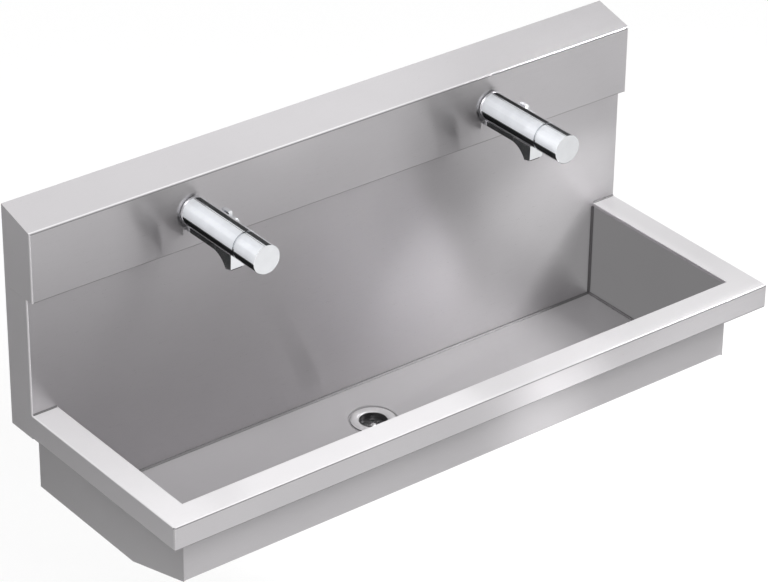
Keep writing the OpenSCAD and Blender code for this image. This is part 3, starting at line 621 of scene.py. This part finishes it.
def makeBowlEnds(b):
    piece = addPlane("bowlEndRight", (b["half"], -b["depth"] - b["sheet"], b["floor"] - b["sheet"]),
                     (b["half"], 0, b["top"]))
    # the front lower corner is cut off along the sloping floor
    outward = Vector((0, b["floor"] - b["frontLow"], b["floorFront"] - b["depth"])).normalized()
    foot = Vector((b["half"], -b["floorFront"], b["floor"])) + outward * b["sheet"]
    edit(piece, "EDGE")
    bpy.ops.mesh.select_all(action="SELECT")
    bpy.ops.mesh.bisect(plane_co=foot, plane_no=outward, clear_outer=True, use_fill=False)
    done()
    faceTowards(piece, (-1, 0, 0))
    giveWall(piece, b["sheet"])
    other = mirrored(piece, "bowlEndLeft")
    for end, node in ((piece, "bowl_end_right"), (other, "bowl_end_left")):
        softenNormals(end)
        hand(end, "sink", "sheet_steel", node)
        # the ends get the darker copy as painted shade
        end.data.materials[0] = endShadeSteel


def makeBowlFloor(b):
    rear, front, drain = b["drain"] - b["splashFace"], b["floorFront"] - b["drain"], Vector((0, -b["drain"]))

    # how far out from the drain a point is, where the floor's edge is 1
    def share(x, y):
        return max(abs(x) / b["half"], y / rear, -y / front)

    def onRing(p, q):
        return all(near((end.xy - drain).length, b["seatRadius"], 0.00012) for end in (p, q))

    putDown()
    bpy.ops.mesh.primitive_circle_add(vertices=96, radius=b["seatRadius"], location=(0, -b["drain"], 0))
    piece = named("bowlFloor")
    # four of the points go exactly on the creases
    corners = [Vector((sx * b["half"], sy)) for sx in (-1, 1) for sy in (-front, rear)]
    for corner in corners:
        aim = corner.normalized() * b["seatRadius"] + drain
        best = min(piece.data.vertices, key=lambda v: (v.co.xy - aim).length)
        best.co.x, best.co.y = aim
    for v in piece.data.vertices:
        v.co.z = b["floor"] - b["fall"] * (1 - share(v.co.x, v.co.y + b["drain"]))
    # the facets, out to the bowl's edges
    edit(piece, "EDGE")
    bpy.ops.mesh.select_all(action="SELECT")
    extrude((0, 0, 0))
    mesh = bmesh.from_edit_mesh(piece.data)
    for v in [v for v in mesh.verts if v.select]:
        x, y = v.co.x, v.co.y + b["drain"]
        grow = 1 / share(x, y)
        v.co = Vector((x * grow, y * grow - b["drain"], b["floor"]))
    bmesh.update_edit_mesh(piece.data)
    # seat wall down and seat inwards
    middle = (0, -b["drain"], b["seat"])
    pickEdges(piece, onRing, True)
    extrude((0, 0, 0))
    bpy.ops.transform.resize(value=(b["seatTaper"], b["seatTaper"], 0), center_override=middle)
    extrude((0, 0, 0))
    inner = b["holeRadius"] / (b["seatTaper"] * b["seatRadius"])
    bpy.ops.transform.resize(value=(inner, inner, 1), center_override=middle)
    evenNormals()
    done()
    faceTowards(piece, (0, 0, 1))
    roundEdges(piece, lambda p, q: onRing(p, q) and p.z > b["seat"] + 0.0001, b["seatFold"], 3)
    giveWall(piece, b["sheet"])
    softenNormals(piece, 12)
    hand(piece, "sink", "sheet_steel", "bowl_floor")
    # the floor gets the darker copy as painted shade
    piece.data.materials[0] = bowlShadeSteel


# one weld along a corner, hollow on its outer edge, in a dark finish that paints the corner's shade; x, y and z
# are the spans that it fills
def addWeld(name, x, y, z, edge):
    piece = addBlock(name, (min(x), min(y), min(z)), (max(x), max(y), max(z)))
    size = min(abs(span[1] - span[0]) for span in (x, y, z))
    edit(piece, "EDGE")
    pickEdges(piece, edge)
    bpy.ops.mesh.bevel(offset=size * weld["hollow"], offset_type="OFFSET", segments=5, profile=weld["curve"],
                       affect="EDGES")
    done()
    softenNormals(piece)
    hand(piece, "sink", "sheet_steel")
    # the weld gets the dark copy as painted shade along the corner
    piece.data.materials[0] = weldShadeSteel


def makeWelds(b, w):
    size, low, side, back = w["size"], b["floor"], b["half"], -b["splashFace"]
    front, up, t = back - size, low + size, w["rimSize"]
    addWeld("weldBack", (-side, side), (front, back), (low, up), lambda p, q: edgeAt(p, q, y=front, z=up))
    for sign, name in ((-1, "Left"), (1, "Right")):
        wall, inner = sign * side, sign * (side - size)
        addWeld("weldCorner" + name, (wall, inner), (front, back), (low, b["top"]),
                lambda p, q: edgeAt(p, q, x=inner, y=front))
        addWeld("weldEnd" + name, (wall, inner), (-b["floorFront"], back), (low, up),
                lambda p, q: edgeAt(p, q, x=inner, z=up))
        addWeld("weldRim" + name, (sign * (side + w["rimGap"]), sign * (rim["halfWidth"] - w["rimStop"])),
                (back - t, back), (-w["rimSunk"], t), lambda p, q: edgeAt(p, q, y=back - t, z=t))


makeBowlFront(bowl)
makeBowlEnds(bowl)
makeBowlFloor(bowl)
makeWelds(bowl, weld)
print("bowl made")

# taps: each piece is made at the left tap and copied to the right one

tap = {"x": -0.3, "pitch": 0.6, "face": 0.0765, "height": 0.2745, "radius": 0.025, "seat": 0.0006,
       "bodyLength": 0.1396, "neckLength": 0.1596, "neckRadius": 0.0226, "shankRadius": 0.015,
       "shankLength": 0.0285, "boreRadius": 0.018, "boreStart": 0.08, "tailAside": 0.0072, "tailHole": 0.00505,
       "tailDepth": 0.012, "edge": 0.0009, "capStart": 0.143, "length": 0.1955, "capWall": 0.004,
       "capEdge": 0.001, "grooveOut": 0.0014, "grooveIn": 0.0018, "grooveDepth": 0.00012}
spout = {"width": 0.027, "length": 0.12, "low": 0.06, "strip": 0.032, "groove": 0.022, "arc": 0.039,
         "arcStart": 0.06977, "outletBack": (0.104817, 0.053884), "outletFront": (0.119, 0.049),
         "saddle": 0.02535, "edge": 0.0007, "ribEnd": 0.002, "ribWidth": 0.022, "ribTop": 0.0225}
aerator = {"width": 0.021, "depth": 0.010, "height": 0.0056, "sunk": 0.0011, "corner": 0.0022, "rim": 0.0011,
           "rimDepth": 0.0007, "wall": 0.0009, "mouth": 0.0011, "edge": 0.00015, "wiresAcross": 7,
           "wiresAlong": 3, "pitch": 0.0022, "wire": 0.00022, "gridWidth": 0.017, "gridDepth": 0.007,
           "gridLow": -0.0009, "gridHigh": -0.0004, "gridStep": 0.00005}
lever = {"distance": 0.0725, "boss": 0.0085, "bossStart": 0.016, "bossEnd": 0.026, "bossEdge": 0.0004,
         "hub": 0.0263, "hubRadius": 0.007, "width": 0.0067, "length": 0.032, "low": 0.005,
         "tabLength": 0.019, "tabHeight": 0.0136, "slope": 0.002, "recess": 0.0015, "recessRadius": 0.00305,
         "edge": 0.0005, "shaft": 0.004, "shaftFrom": 0.01, "shaftEdge": 0.0003}
spring = {"radius": 0.00925, "wire": 0.00125, "from": 0.1551, "to": 0.1915, "turns": 7, "stepsPerTurn": 36}
outwards, aside = (0, -1, 0), (1, 0, 0)


# a place by its distance from the cover's front, and from the tap's axis
def toTap(distance, sideways=0.0, up=0.0):
    return Vector((tap["x"] + sideways, -tap["face"] - distance, tap["height"] + up))


def handTaps(piece, name, body, slot, node):
    softenNormals(piece)
    piece.name = piece.data.name = "left_" + name
    pair = (piece, copyOf(piece, "right_" + name, (tap["pitch"], 0, 0)))
    for one, side in zip(pair, ("left_", "right_")):
        hand(one, body if body == "sink" else side + body, slot, side + node)
    return pair


def makeTapBody(t, v):
    e, seat, shank = t["edge"], t["seat"], t["shankLength"]
    piece = turned("tapBody", toTap(0), outwards, [
        (-shank, 0), (-shank, t["shankRadius"] - e), (e - shank, t["shankRadius"]), (seat, t["shankRadius"]),
        (seat, t["radius"] - e), (seat + e * 0.6, t["radius"] - e * 0.3), (seat + e, t["radius"]),
        (t["bodyLength"] - e, t["radius"]), (t["bodyLength"] - e * 0.3, t["radius"] - e * 0.3),
        (t["bodyLength"], t["radius"] - e), (t["bodyLength"], t["neckRadius"]),
        (t["neckLength"] - 0.0005, t["neckRadius"]), (t["neckLength"], t["neckRadius"] - 0.0005),
        (t["neckLength"], t["boreRadius"]), (t["boreStart"], t["boreRadius"]), (t["boreStart"], 0)], 128)
    pivot = toTap(v["distance"])
    fuse(piece, turned("boss", pivot, aside, [
        (v["bossStart"], 0), (v["bossStart"], v["boss"]), (v["bossEnd"] - v["bossEdge"], v["boss"]),
        (v["bossEnd"], v["boss"] - v["bossEdge"]), (v["bossEnd"], 0)], 64))
    # bore for the lever's shaft, and one for each of the two tails
    tools = [addRod(pivot, aside, v["shaftFrom"] - 2 * fit, v["bossEnd"] + 2 * overrun, v["shaft"] + fit, 40)]
    for side in (-1, 1):
        tools.append(addRod(toTap(-shank - overrun, side * t["tailAside"]), outwards,
                            0, overrun + t["tailDepth"], t["tailHole"], 32))
    cutWith(piece, *tools)
    handTaps(piece, "tapBodyShell", "sink", "tap_chrome", "tap_body")


# the cap's face has a fine turned groove near its edge
def makePushCap(t):
    e, end, deep, bore = t["capEdge"], t["length"], t["length"] - t["grooveDepth"], t["neckRadius"] + fit
    piece = turned("pushCap", toTap(0), outwards, [
        (end, 0), (end, t["radius"] - t["grooveIn"] - 0.0003), (deep, t["radius"] - t["grooveIn"]),
        (deep, t["radius"] - t["grooveOut"]), (end, t["radius"] - e), (end - e * 0.3, t["radius"] - e * 0.3),
        (end - e, t["radius"]), (t["capStart"] + 0.0005, t["radius"]),
        (t["capStart"] + 0.00015, t["radius"] - 0.00015), (t["capStart"], t["radius"] - 0.0005),
        (t["capStart"], bore), (end - t["capWall"], bore), (end - t["capWall"], 0)], 128)
    handTaps(piece, "pushCap", "cap", "tap_chrome", "push_cap")


def makeSpout(p):
    back, front = p["outletBack"], p["outletFront"]
    reach, wide, deep, long = 0.01, 0.06, 0.08, 0.16  # the cutters, all well past the spout
    piece = addBlock("spout", toTap(p["length"], -p["width"] / 2, -p["low"]),
                     toTap(tap["seat"], p["width"] / 2, -p["groove"]))
    edit(piece, "FACE")
    # front leans in to the outlet, and the outlet is tilted
    cuts = [(toTap(p["length"], 0, -p["groove"]), toTap(front[0], 0, -front[1]), (0, -1, 0)),
            (toTap(front[0], 0, -front[1]), toTap(back[0], 0, -back[1]), (0, 0, -1))]
    for first, second, outward in cuts:
        along = second - first
        normal = Vector((0, along.z, -along.y)).normalized()
        if normal.dot(Vector(outward)) < 0:
            normal = -normal
        bpy.ops.mesh.select_all(action="SELECT")
        bpy.ops.mesh.bisect(plane_co=first, plane_no=normal, clear_outer=True, use_fill=True)
    done()
    # a straight strip below the body, then an arc down to the outlet
    under = addBlock("under", toTap(p["arcStart"], -wide / 2, -deep), toTap(-reach, wide / 2, -p["strip"]))
    cutWith(piece, under, addDrill(p["arc"], wide, toTap(p["arcStart"], 0, -p["strip"] - p["arc"]), "x", 160))
    cutWith(piece, addRod(toTap(-reach), outwards, 0, long, p["saddle"], 128))
    roundAll(piece, p["edge"], 3, 35)
    # narrower rib that fills the groove up to the body
    rib = addBlock("rib", toTap(p["length"] - p["ribEnd"], -p["ribWidth"] / 2, p["ribEnd"] - p["strip"]),
                   toTap(p["ribEnd"], p["ribWidth"] / 2, -p["ribTop"]))
    cutWith(rib, addRod(toTap(-reach), outwards, 0, long, tap["radius"] + fit, 128))
    take(piece, rib)
    bpy.ops.object.join()
    handTaps(piece, "spoutArm", "sink", "tap_chrome", "tap_spout")


def makeAerator(a, p):
    back, front, wire = p["outletBack"], p["outletFront"], a["wire"]
    piece = addBlock("aerator", (-a["width"] / 2, -a["depth"] / 2, a["sunk"] - a["height"] / 2),
                     (a["width"] / 2, a["depth"] / 2, a["sunk"] + a["height"] / 2))
    roundEdges(piece, lambda m, n: near(m.x, n.x) and near(m.y, n.y), a["corner"], 4)
    edit(piece, "FACE")
    pickFaces(piece, lambda m, normal: normal.z < -0.9)
    bpy.ops.mesh.inset(thickness=a["rim"])
    extrude((0, 0, a["rimDepth"]))
    bpy.ops.mesh.inset(thickness=a["wall"])
    extrude((0, 0, a["mouth"]))
    done()
    roundAll(piece, a["edge"], 2, 40)
    # the grid in its mouth, whose long wires are a little thinner
    grid, wide, deep, low, high = [], a["gridWidth"] / 2, a["gridDepth"] / 2, a["gridLow"], a["gridHigh"]
    for i in range(a["wiresAcross"]):
        x = (i - a["wiresAcross"] // 2) * a["pitch"]
        grid.append(addBlock("wire", (x - wire, -deep, low), (x + wire, deep, high)))
    low, high = low + a["gridStep"], high - a["gridStep"]
    for i in range(a["wiresAlong"]):
        y = (i - a["wiresAlong"] // 2) * a["pitch"]
        grid.append(addBlock("wire", (-wide, y - wire, low), (wide, y + wire, high)))
    take(piece, *grid)
    bpy.ops.object.join()
    middle = toTap((back[0] + front[0]) / 2, 0, -(back[1] + front[1]) / 2)
    tilt = math.atan2(back[1] - front[1], front[0] - back[0])
    piece.data.transform(Matrix.Translation(middle) @ Matrix.Rotation(-tilt, 4, "X"))
    handTaps(piece, "aeratorInsert", "sink", "black_plastic", "tap_aerator")


def makeLever(v):
    pivot, face = toTap(v["distance"]), v["hub"] + v["width"]
    tabStart = pivot.y + v["length"] - v["tabLength"]
    piece = addBlock("lever", pivot + Vector((v["hub"], 0, -v["low"])),
                     pivot + Vector((face, v["length"], v["hubRadius"])))
    edit(piece, "FACE")
    bisectAll(pivot + Vector((0, v["length"] - v["tabLength"], 0)), (0, 1, 0))
    # raised tab, whose front slopes near its top
    pickFaces(piece, lambda m, normal: normal.z > 0.9 and m.y > tabStart)
    extrude((0, 0, v["tabHeight"] - v["hubRadius"] - v["slope"]))
    extrude((0, 0, v["slope"]))
    pickEdges(piece, lambda a, b: near(a.y, b.y) and near(a.z, b.z) and near(a.z, pivot.z + v["tabHeight"])
              and a.y < tabStart + 0.001)
    bpy.ops.transform.translate(value=(0, v["slope"], 0))
    done()
    fuse(piece, addRod(pivot, aside, v["hub"], face, v["hubRadius"], 64))
    cutWith(piece, addRod(pivot, aside, face - v["recess"], face + overrun, v["recessRadius"], 48))
    roundAll(piece, v["edge"], 3, 40)
    shaft = turned("shaft", pivot, aside, [
        (v["shaftFrom"], 0), (v["shaftFrom"], v["shaft"] - v["shaftEdge"]),
        (v["shaftFrom"] + v["shaftEdge"], v["shaft"]), (v["hub"] + 0.0003, v["shaft"]),
        (v["hub"] + 0.0003, 0)], 40)
    take(piece, shaft)
    bpy.ops.object.join()
    handTaps(piece, "leverArm", "lever", "tap_chrome", "lever")


def makeSprings(c):
    putDown()
    bpy.ops.mesh.primitive_circle_add(vertices=14, radius=c["wire"], location=(c["radius"], 0, 0),
                                      rotation=(math.pi / 2, 0, 0))
    piece = named("spring")
    steps = c["stepsPerTurn"] * c["turns"]
    modify(piece, "SCREW", axis="Z", angle=2 * math.pi * c["turns"], iterations=1, steps=steps,
           render_steps=steps, screw_offset=c["to"] - c["from"] - 2 * c["wire"], use_merge_vertices=True)
    edit(piece, "EDGE")
    bpy.ops.mesh.select_all(action="SELECT")
    bpy.ops.mesh.region_to_loop()
    bpy.ops.mesh.edge_face_add()
    evenNormals()
    done()
    start = Matrix.Translation(toTap(c["from"] + c["wire"]))
    piece.data.transform(start @ Matrix.Rotation(math.pi / 2, 4, "X"))
    pair = handTaps(piece, "springWire", "sink", "bright_steel", "cap_spring")
    for one, joint in zip(pair, ("left_cap_push", "right_cap_push")):
        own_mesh(one)


makeTapBody(tap, lever)
makePushCap(tap)
makeSpout(spout)
makeAerator(aerator, spout)
makeLever(lever)
makeSprings(spring)
print("taps made")

# waste

waste = {"drain": 0.155, "flangeLow": -0.188, "flangeTop": -0.1855, "flangeRadius": 0.0385, "mouth": 0.0235,
         "sleeve": 0.0253, "shelf": -0.199, "shelfThick": 0.0016, "shelfRadius": 0.0205, "strainer": 0.0015,
         "strainerRadius": 0.0233, "holes": 6, "holeRing": 0.0135, "hole": 0.0042, "screwHead": 0.005,
         "headHeight": 0.0024, "slotTurn": 0.5, "screw": 0.003, "cupFloor": -0.2382, "tail": 0.0239,
         "tailIn": 0.0189, "tailLow": -0.2652, "threads": 10, "threadPitch": 0.0023, "threadDepth": 0.0012}


def makeFlange(w, axis, up):
    top, low, big, mouth, shelf = w["flangeTop"], w["flangeLow"], w["flangeRadius"], w["mouth"], w["shelf"]
    under = shelf - w["shelfThick"]
    flange = turned("wasteFlange", axis, up, [
        (low, big - 0.0002), (low + 0.0004, big), (low + 0.0009, big - 0.0001), (low + 0.0016, big - 0.0007),
        (low + 0.0021, big - 0.0015), (top - 0.0001, big - 0.0028), (top, big - 0.0042),
        (top - 0.00015, mouth + 0.0052), (top - 0.0005, mouth + 0.0033), (top - 0.0012, mouth + 0.0016),
        (top - 0.0022, mouth + 0.0006), (top - 0.0036, mouth), (shelf, mouth), (shelf, w["shelfRadius"]),
        (under, w["shelfRadius"]), (under, w["sleeve"]), (low, w["sleeve"])], 128, True)
    softenNormals(flange, 40)
    hand(flange, "sink", "waste_steel", "waste_flange")

    # the well and the flange's outer edge get a dark copy, painted shade in the well and a painted shadow along
    # the edge
    def paintedShadeFaces(m, normal):
        out = (m.xy - Vector(axis).xy).length
        inWell = m.z > shelf - 0.0001 and out < mouth + 0.001
        return m.z < top - 0.0014 and (inWell or abs(normal.z) < 0.6 and out > big - 0.001)

    finishFaces(flange, wellShadeSteel, paintedShadeFaces)


def makeStrainer(w, axis, up):
    low, top, big = w["shelf"], w["shelf"] + w["strainer"], w["strainerRadius"]
    strainer = turned("wasteStrainer", axis, up, [
        (low, 0), (low, big - 0.0002), (low + 0.0003, big), (top - 0.0003, big), (top, big - 0.0003),
        (top, 0)], 96)
    tools = [addRod(axis, up, low - overrun, low + 2 * overrun, w["screw"] + 2 * fit, 32)]
    for i in range(w["holes"]):
        turn = math.radians(360 / w["holes"] * i)
        place = (w["holeRing"] * math.cos(turn), w["holeRing"] * math.sin(turn) - w["drain"], 0)
        tools.append(turned("hole", place, up, [
            (low - overrun, 0), (low - overrun, w["hole"]), (top - 0.0004, w["hole"]),
            (top + 0.0002, w["hole"] + 0.0006), (top + 0.0002, 0)], 32))
    cutWith(strainer, *tools)
    softenNormals(strainer)
    hand(strainer, "sink", "waste_steel", "waste_strainer")
    # the strainer in the well gets the dark copy as painted shade
    finishFaces(strainer, wellShadeSteel, lambda m, normal: True)


def makeWasteScrew(w, axis, up):
    foot, seat, head = w["cupFloor"] + 0.0005, w["shelf"] + w["strainer"], w["screwHead"]
    screw = turned("wasteScrew", axis, up, [
        (foot, 0), (foot, w["screw"]), (seat, w["screw"]), (seat, head), (seat + 0.0012, head),
        (seat + 0.0019, head - 0.0006), (seat + w["headHeight"], head - 0.0018),
        (seat + w["headHeight"], 0)], 48)
    slot = addBlock("slot", (-0.006, -w["drain"] - 0.0006, seat + 0.0012),
                    (0.006, -w["drain"] + 0.0006, seat + 0.004))
    about = Matrix.Translation(axis)
    slot.data.transform(about @ Matrix.Rotation(w["slotTurn"], 4, "Z") @ about.inverted())
    cutWith(screw, slot)
    softenNormals(screw)
    hand(screw, "sink", "bright_steel", "waste_screw")


def makeWasteTail(w, axis, up):
    root, pitch, end = w["tail"] - w["threadDepth"], w["threadPitch"], w["cupFloor"] - 0.0025
    profile = [(w["tailLow"], w["tailIn"]), (w["tailLow"], root)]
    z = w["tailLow"] + 0.0006
    for i in range(w["threads"]):
        profile += [(z, root), (z + pitch * 0.4, w["tail"]), (z + pitch * 0.6, w["tail"])]
        z += pitch
    profile += [(z, root), (end, root), (end, w["tailIn"])]
    tail = turned("wasteTail", axis, up, profile, 96, True)
    softenNormals(tail)
    hand(tail, "sink", "grey_plastic", "waste_tail")


for make in (makeFlange, makeStrainer, makeWasteScrew, makeWasteTail):
    make(waste, (0, -waste["drain"], 0), (0, 0, 1))
print("waste made")

# floor, lamps and sky; the cards, flags and glow only show in the metal or shade it, as in a product studio

studio = {"floorHeight": -0.85, "floorColour": (0.8, 0.8, 0.8), "floorGlow": 0.2, "sky": 0.95,
          "endGlow": {"low": (0.5513, -0.4, -0.18), "high": (0.5513, -0.0634, -0.007), "glow": 0.44}}
lamps = {
    "topLamp": {"place": (0.5, 0.95, 1.85), "aim": (0, -0.1, 0.3), "size": (2.0, 0.5), "power": 3.4},
    "keyLamp": {"place": (1.21, -0.70, 1.04), "aim": (0.25, -0.15, -0.15), "size": (0.2, 0.42), "power": 10.5},
    "fillLamp": {"place": (-0.88, -1.85, 1.16), "aim": (0.45, -0.15, -0.1), "size": (1.2, 1.2), "power": 22},
    "lowLamp": {"place": (0.49, -0.80, -0.42), "aim": (0.15, -0.42, -0.07), "size": (0.14, 0.25),
                "power": 0.22}}
cards = {
    "leftCard": {"place": (-1.3, 0.7, -0.5), "facing": (-0.6, -0.2, 0.1), "size": (1.6, 1.2), "shade": 0.35},
    "rightCard": {"place": (0.8, -0.4, -0.08), "facing": (0.5, -0.4, -0.08), "size": (0.4, 0.6), "shade": 0.8},
    "keyCard": {"place": (0.65, -0.2, 0.525), "facing": (0.65, -0.7, 0.525), "size": (0.7, 0.45),
                "blocksLamps": True},
    "rimCard": {"place": (0.42, -0.43, 0.1), "facing": (0.42, -0.43, 1), "size": (0.65, 0.09),
                "blocksLamps": True},
    "rimCardRight": {"place": (0.65, -0.29, 0.1), "facing": (0.65, -0.29, 1), "size": (0.08, 0.34),
                     "blocksLamps": True},
    # dark cards under the apron's lip, seen only in the metal, paint shade under the apron on the front and
    # left end walls
    "apronCard": {"place": (0, -0.446, -0.072), "facing": (0, 0, -0.072), "size": (1.19, 0.056), "shade": 0.3},
    "apronCardLeft": {"place": (-0.598, -0.25, -0.072), "facing": (0, -0.25, -0.072), "size": (0.39, 0.056),
                      "shade": 0.3}}
# curved strips round each tap, seen only in the chrome, paint dark and light bands on it; angles run from the
# right, over the top
flags = {
    "tapShade": {"radius": 0.0285, "start": 188, "stop": 229, "shade": 0.04},
    "tapShadeTop": {"radius": 0.0285, "start": 57, "stop": 87, "shade": 0.12},
    "tapLight": {"radius": 0.0288, "start": 93, "stop": 186, "shade": 0.9, "glow": 0.3},
    "tapGlow": {"radius": 0.0285, "start": 122, "stop": 146, "shade": 0.9, "glow": 0.36},
    "tapBack": {"radius": 0.0292, "start": 91, "stop": 231, "shade": 0.3}}
# flat strips left of each spout, seen only in the chrome, paint shade on it, from one (distance, up) to another
spoutCards = {
    "spoutShade": {"sideways": -0.031, "low": (0.125, -0.07), "high": (0.05, -0.036), "shade": 0.08},
    "stripShade": {"sideways": -0.019, "low": (0.07, -0.039), "high": (0.001, -0.025), "shade": 0.08},
    "stripBack": {"sideways": -0.0194, "low": (0.07, -0.039), "high": (0.001, -0.025), "shade": 0.3}}


def addFloor():
    putDown()
    bpy.ops.mesh.primitive_plane_add(size=30, location=(0, 0, studio["floorHeight"]))
    floor = named("floor")
    n = Nodes("pale_floor")
    n.shade(Base_Color=(*studio["floorColour"], 1), Roughness=0.9, Specular_IOR_Level=0.1,
            Emission_Color=(1, 1, 1, 1))
    path = n.add("ShaderNodeLightPath")
    glow = n.add("ShaderNodeMath", operation="MULTIPLY")
    glow.inputs[1].default_value = studio["floorGlow"]
    n.wire(path.outputs["Is Camera Ray"], glow.inputs[0])
    n.wire(glow.outputs["Value"], n.shader.inputs["Emission Strength"])
    floor.data.materials.append(n.material)


def makeCard(card, shade=0.1, glow=0.0, blocksLamps=False):
    n = Nodes(card.name)
    n.shade(Base_Color=(shade, shade, shade, 1), Roughness=0.9, Emission_Color=(1, 1, 1, 1),
            Emission_Strength=glow)
    card.data.materials.clear()
    card.data.materials.append(n.material)
    card.visible_camera = False
    card.visible_diffuse = False
    card.visible_glossy = not blocksLamps
    card.visible_shadow = blocksLamps


# the same card at each tap
def makeCards(card, **settings):
    makeCard(copyOf(card, card.name + "Right", (tap["pitch"], 0, 0)), **settings)
    makeCard(card, **settings)


def addCard(name, place, facing, size, **settings):
    putDown()
    turn = (Vector(facing) - Vector(place)).to_track_quat("Z", "Y")
    bpy.ops.mesh.primitive_plane_add(size=1, location=place, rotation=turn.to_euler())
    bpy.context.object.scale = (size[0], size[1], 1)
    makeCard(named(name), **settings)


def addFlag(name, radius, start, stop, **settings):
    putDown()
    bpy.ops.mesh.primitive_circle_add(vertices=120, radius=radius, location=toTap(tap["length"] + 0.004),
                                      rotation=(math.pi / 2, 0, 0))
    flag = named(name)

    def outside(a, b):
        middle = (a + b) / 2 - toTap(0)
        return not start < math.degrees(math.atan2(middle.z, middle.x)) % 360 < stop

    edit(flag, "EDGE")
    pickEdges(flag, outside)
    bpy.ops.mesh.delete(type="EDGE")
    bpy.ops.mesh.select_all(action="SELECT")
    extrude((0, tap["length"] + 0.002, 0))
    done()
    makeCards(flag, **settings)


def addSpoutCard(name, sideways, low, high, **settings):
    makeCards(addPlane(name, toTap(low[0], sideways, low[1]), toTap(high[0], sideways, high[1])), **settings)


def addLamp(name, place, aim, size, power):
    data = bpy.data.lights.new(name, "AREA")
    data.shape = "RECTANGLE"
    data.size, data.size_y = size
    data.energy = power
    lamp = bpy.data.objects.new(name, data)
    lamp.location = place
    lamp.rotation_euler = (Vector(aim) - Vector(place)).to_track_quat("-Z", "Y").to_euler()
    lamp.visible_camera = False
    bpy.context.scene.collection.objects.link(lamp)


# white behind the object and in its metal, a little less as light
def addSky():
    world = bpy.data.worlds.new("studio_sky")
    bpy.context.scene.world = world
    world.use_nodes = True
    tree = world.node_tree
    back = tree.nodes["Background"]
    path = tree.nodes.new("ShaderNodeLightPath")
    seen = path.outputs["Is Camera Ray"]
    for ray in ("Is Glossy Ray", "Is Transmission Ray"):
        either = tree.nodes.new("ShaderNodeMath")
        either.operation = "MAXIMUM"
        tree.links.new(seen, either.inputs[0])
        tree.links.new(path.outputs[ray], either.inputs[1])
        seen = either.outputs[0]
    strength = tree.nodes.new("ShaderNodeMapRange")
    strength.inputs["To Min"].default_value = studio["sky"]
    strength.inputs["To Max"].default_value = 1.0
    tree.links.new(seen, strength.inputs["Value"])
    tree.links.new(strength.outputs["Result"], back.inputs["Strength"])
    back.inputs["Color"].default_value = (1, 1, 1, 1)


addFloor()
addSky()
for add, table in ((addLamp, lamps), (addCard, cards), (addFlag, flags), (addSpoutCard, spoutCards)):
    for name, settings in table.items():
        add(name, **settings)
# a glowing card just in front of the bowl's right end wall, seen only in the metal, paints brighter reflections
# on the splash and floor
glow = studio["endGlow"]
makeCard(addPlane("endGlow", glow["low"], glow["high"]), 0.0, glow["glow"])
print("floor, lamps and sky made")
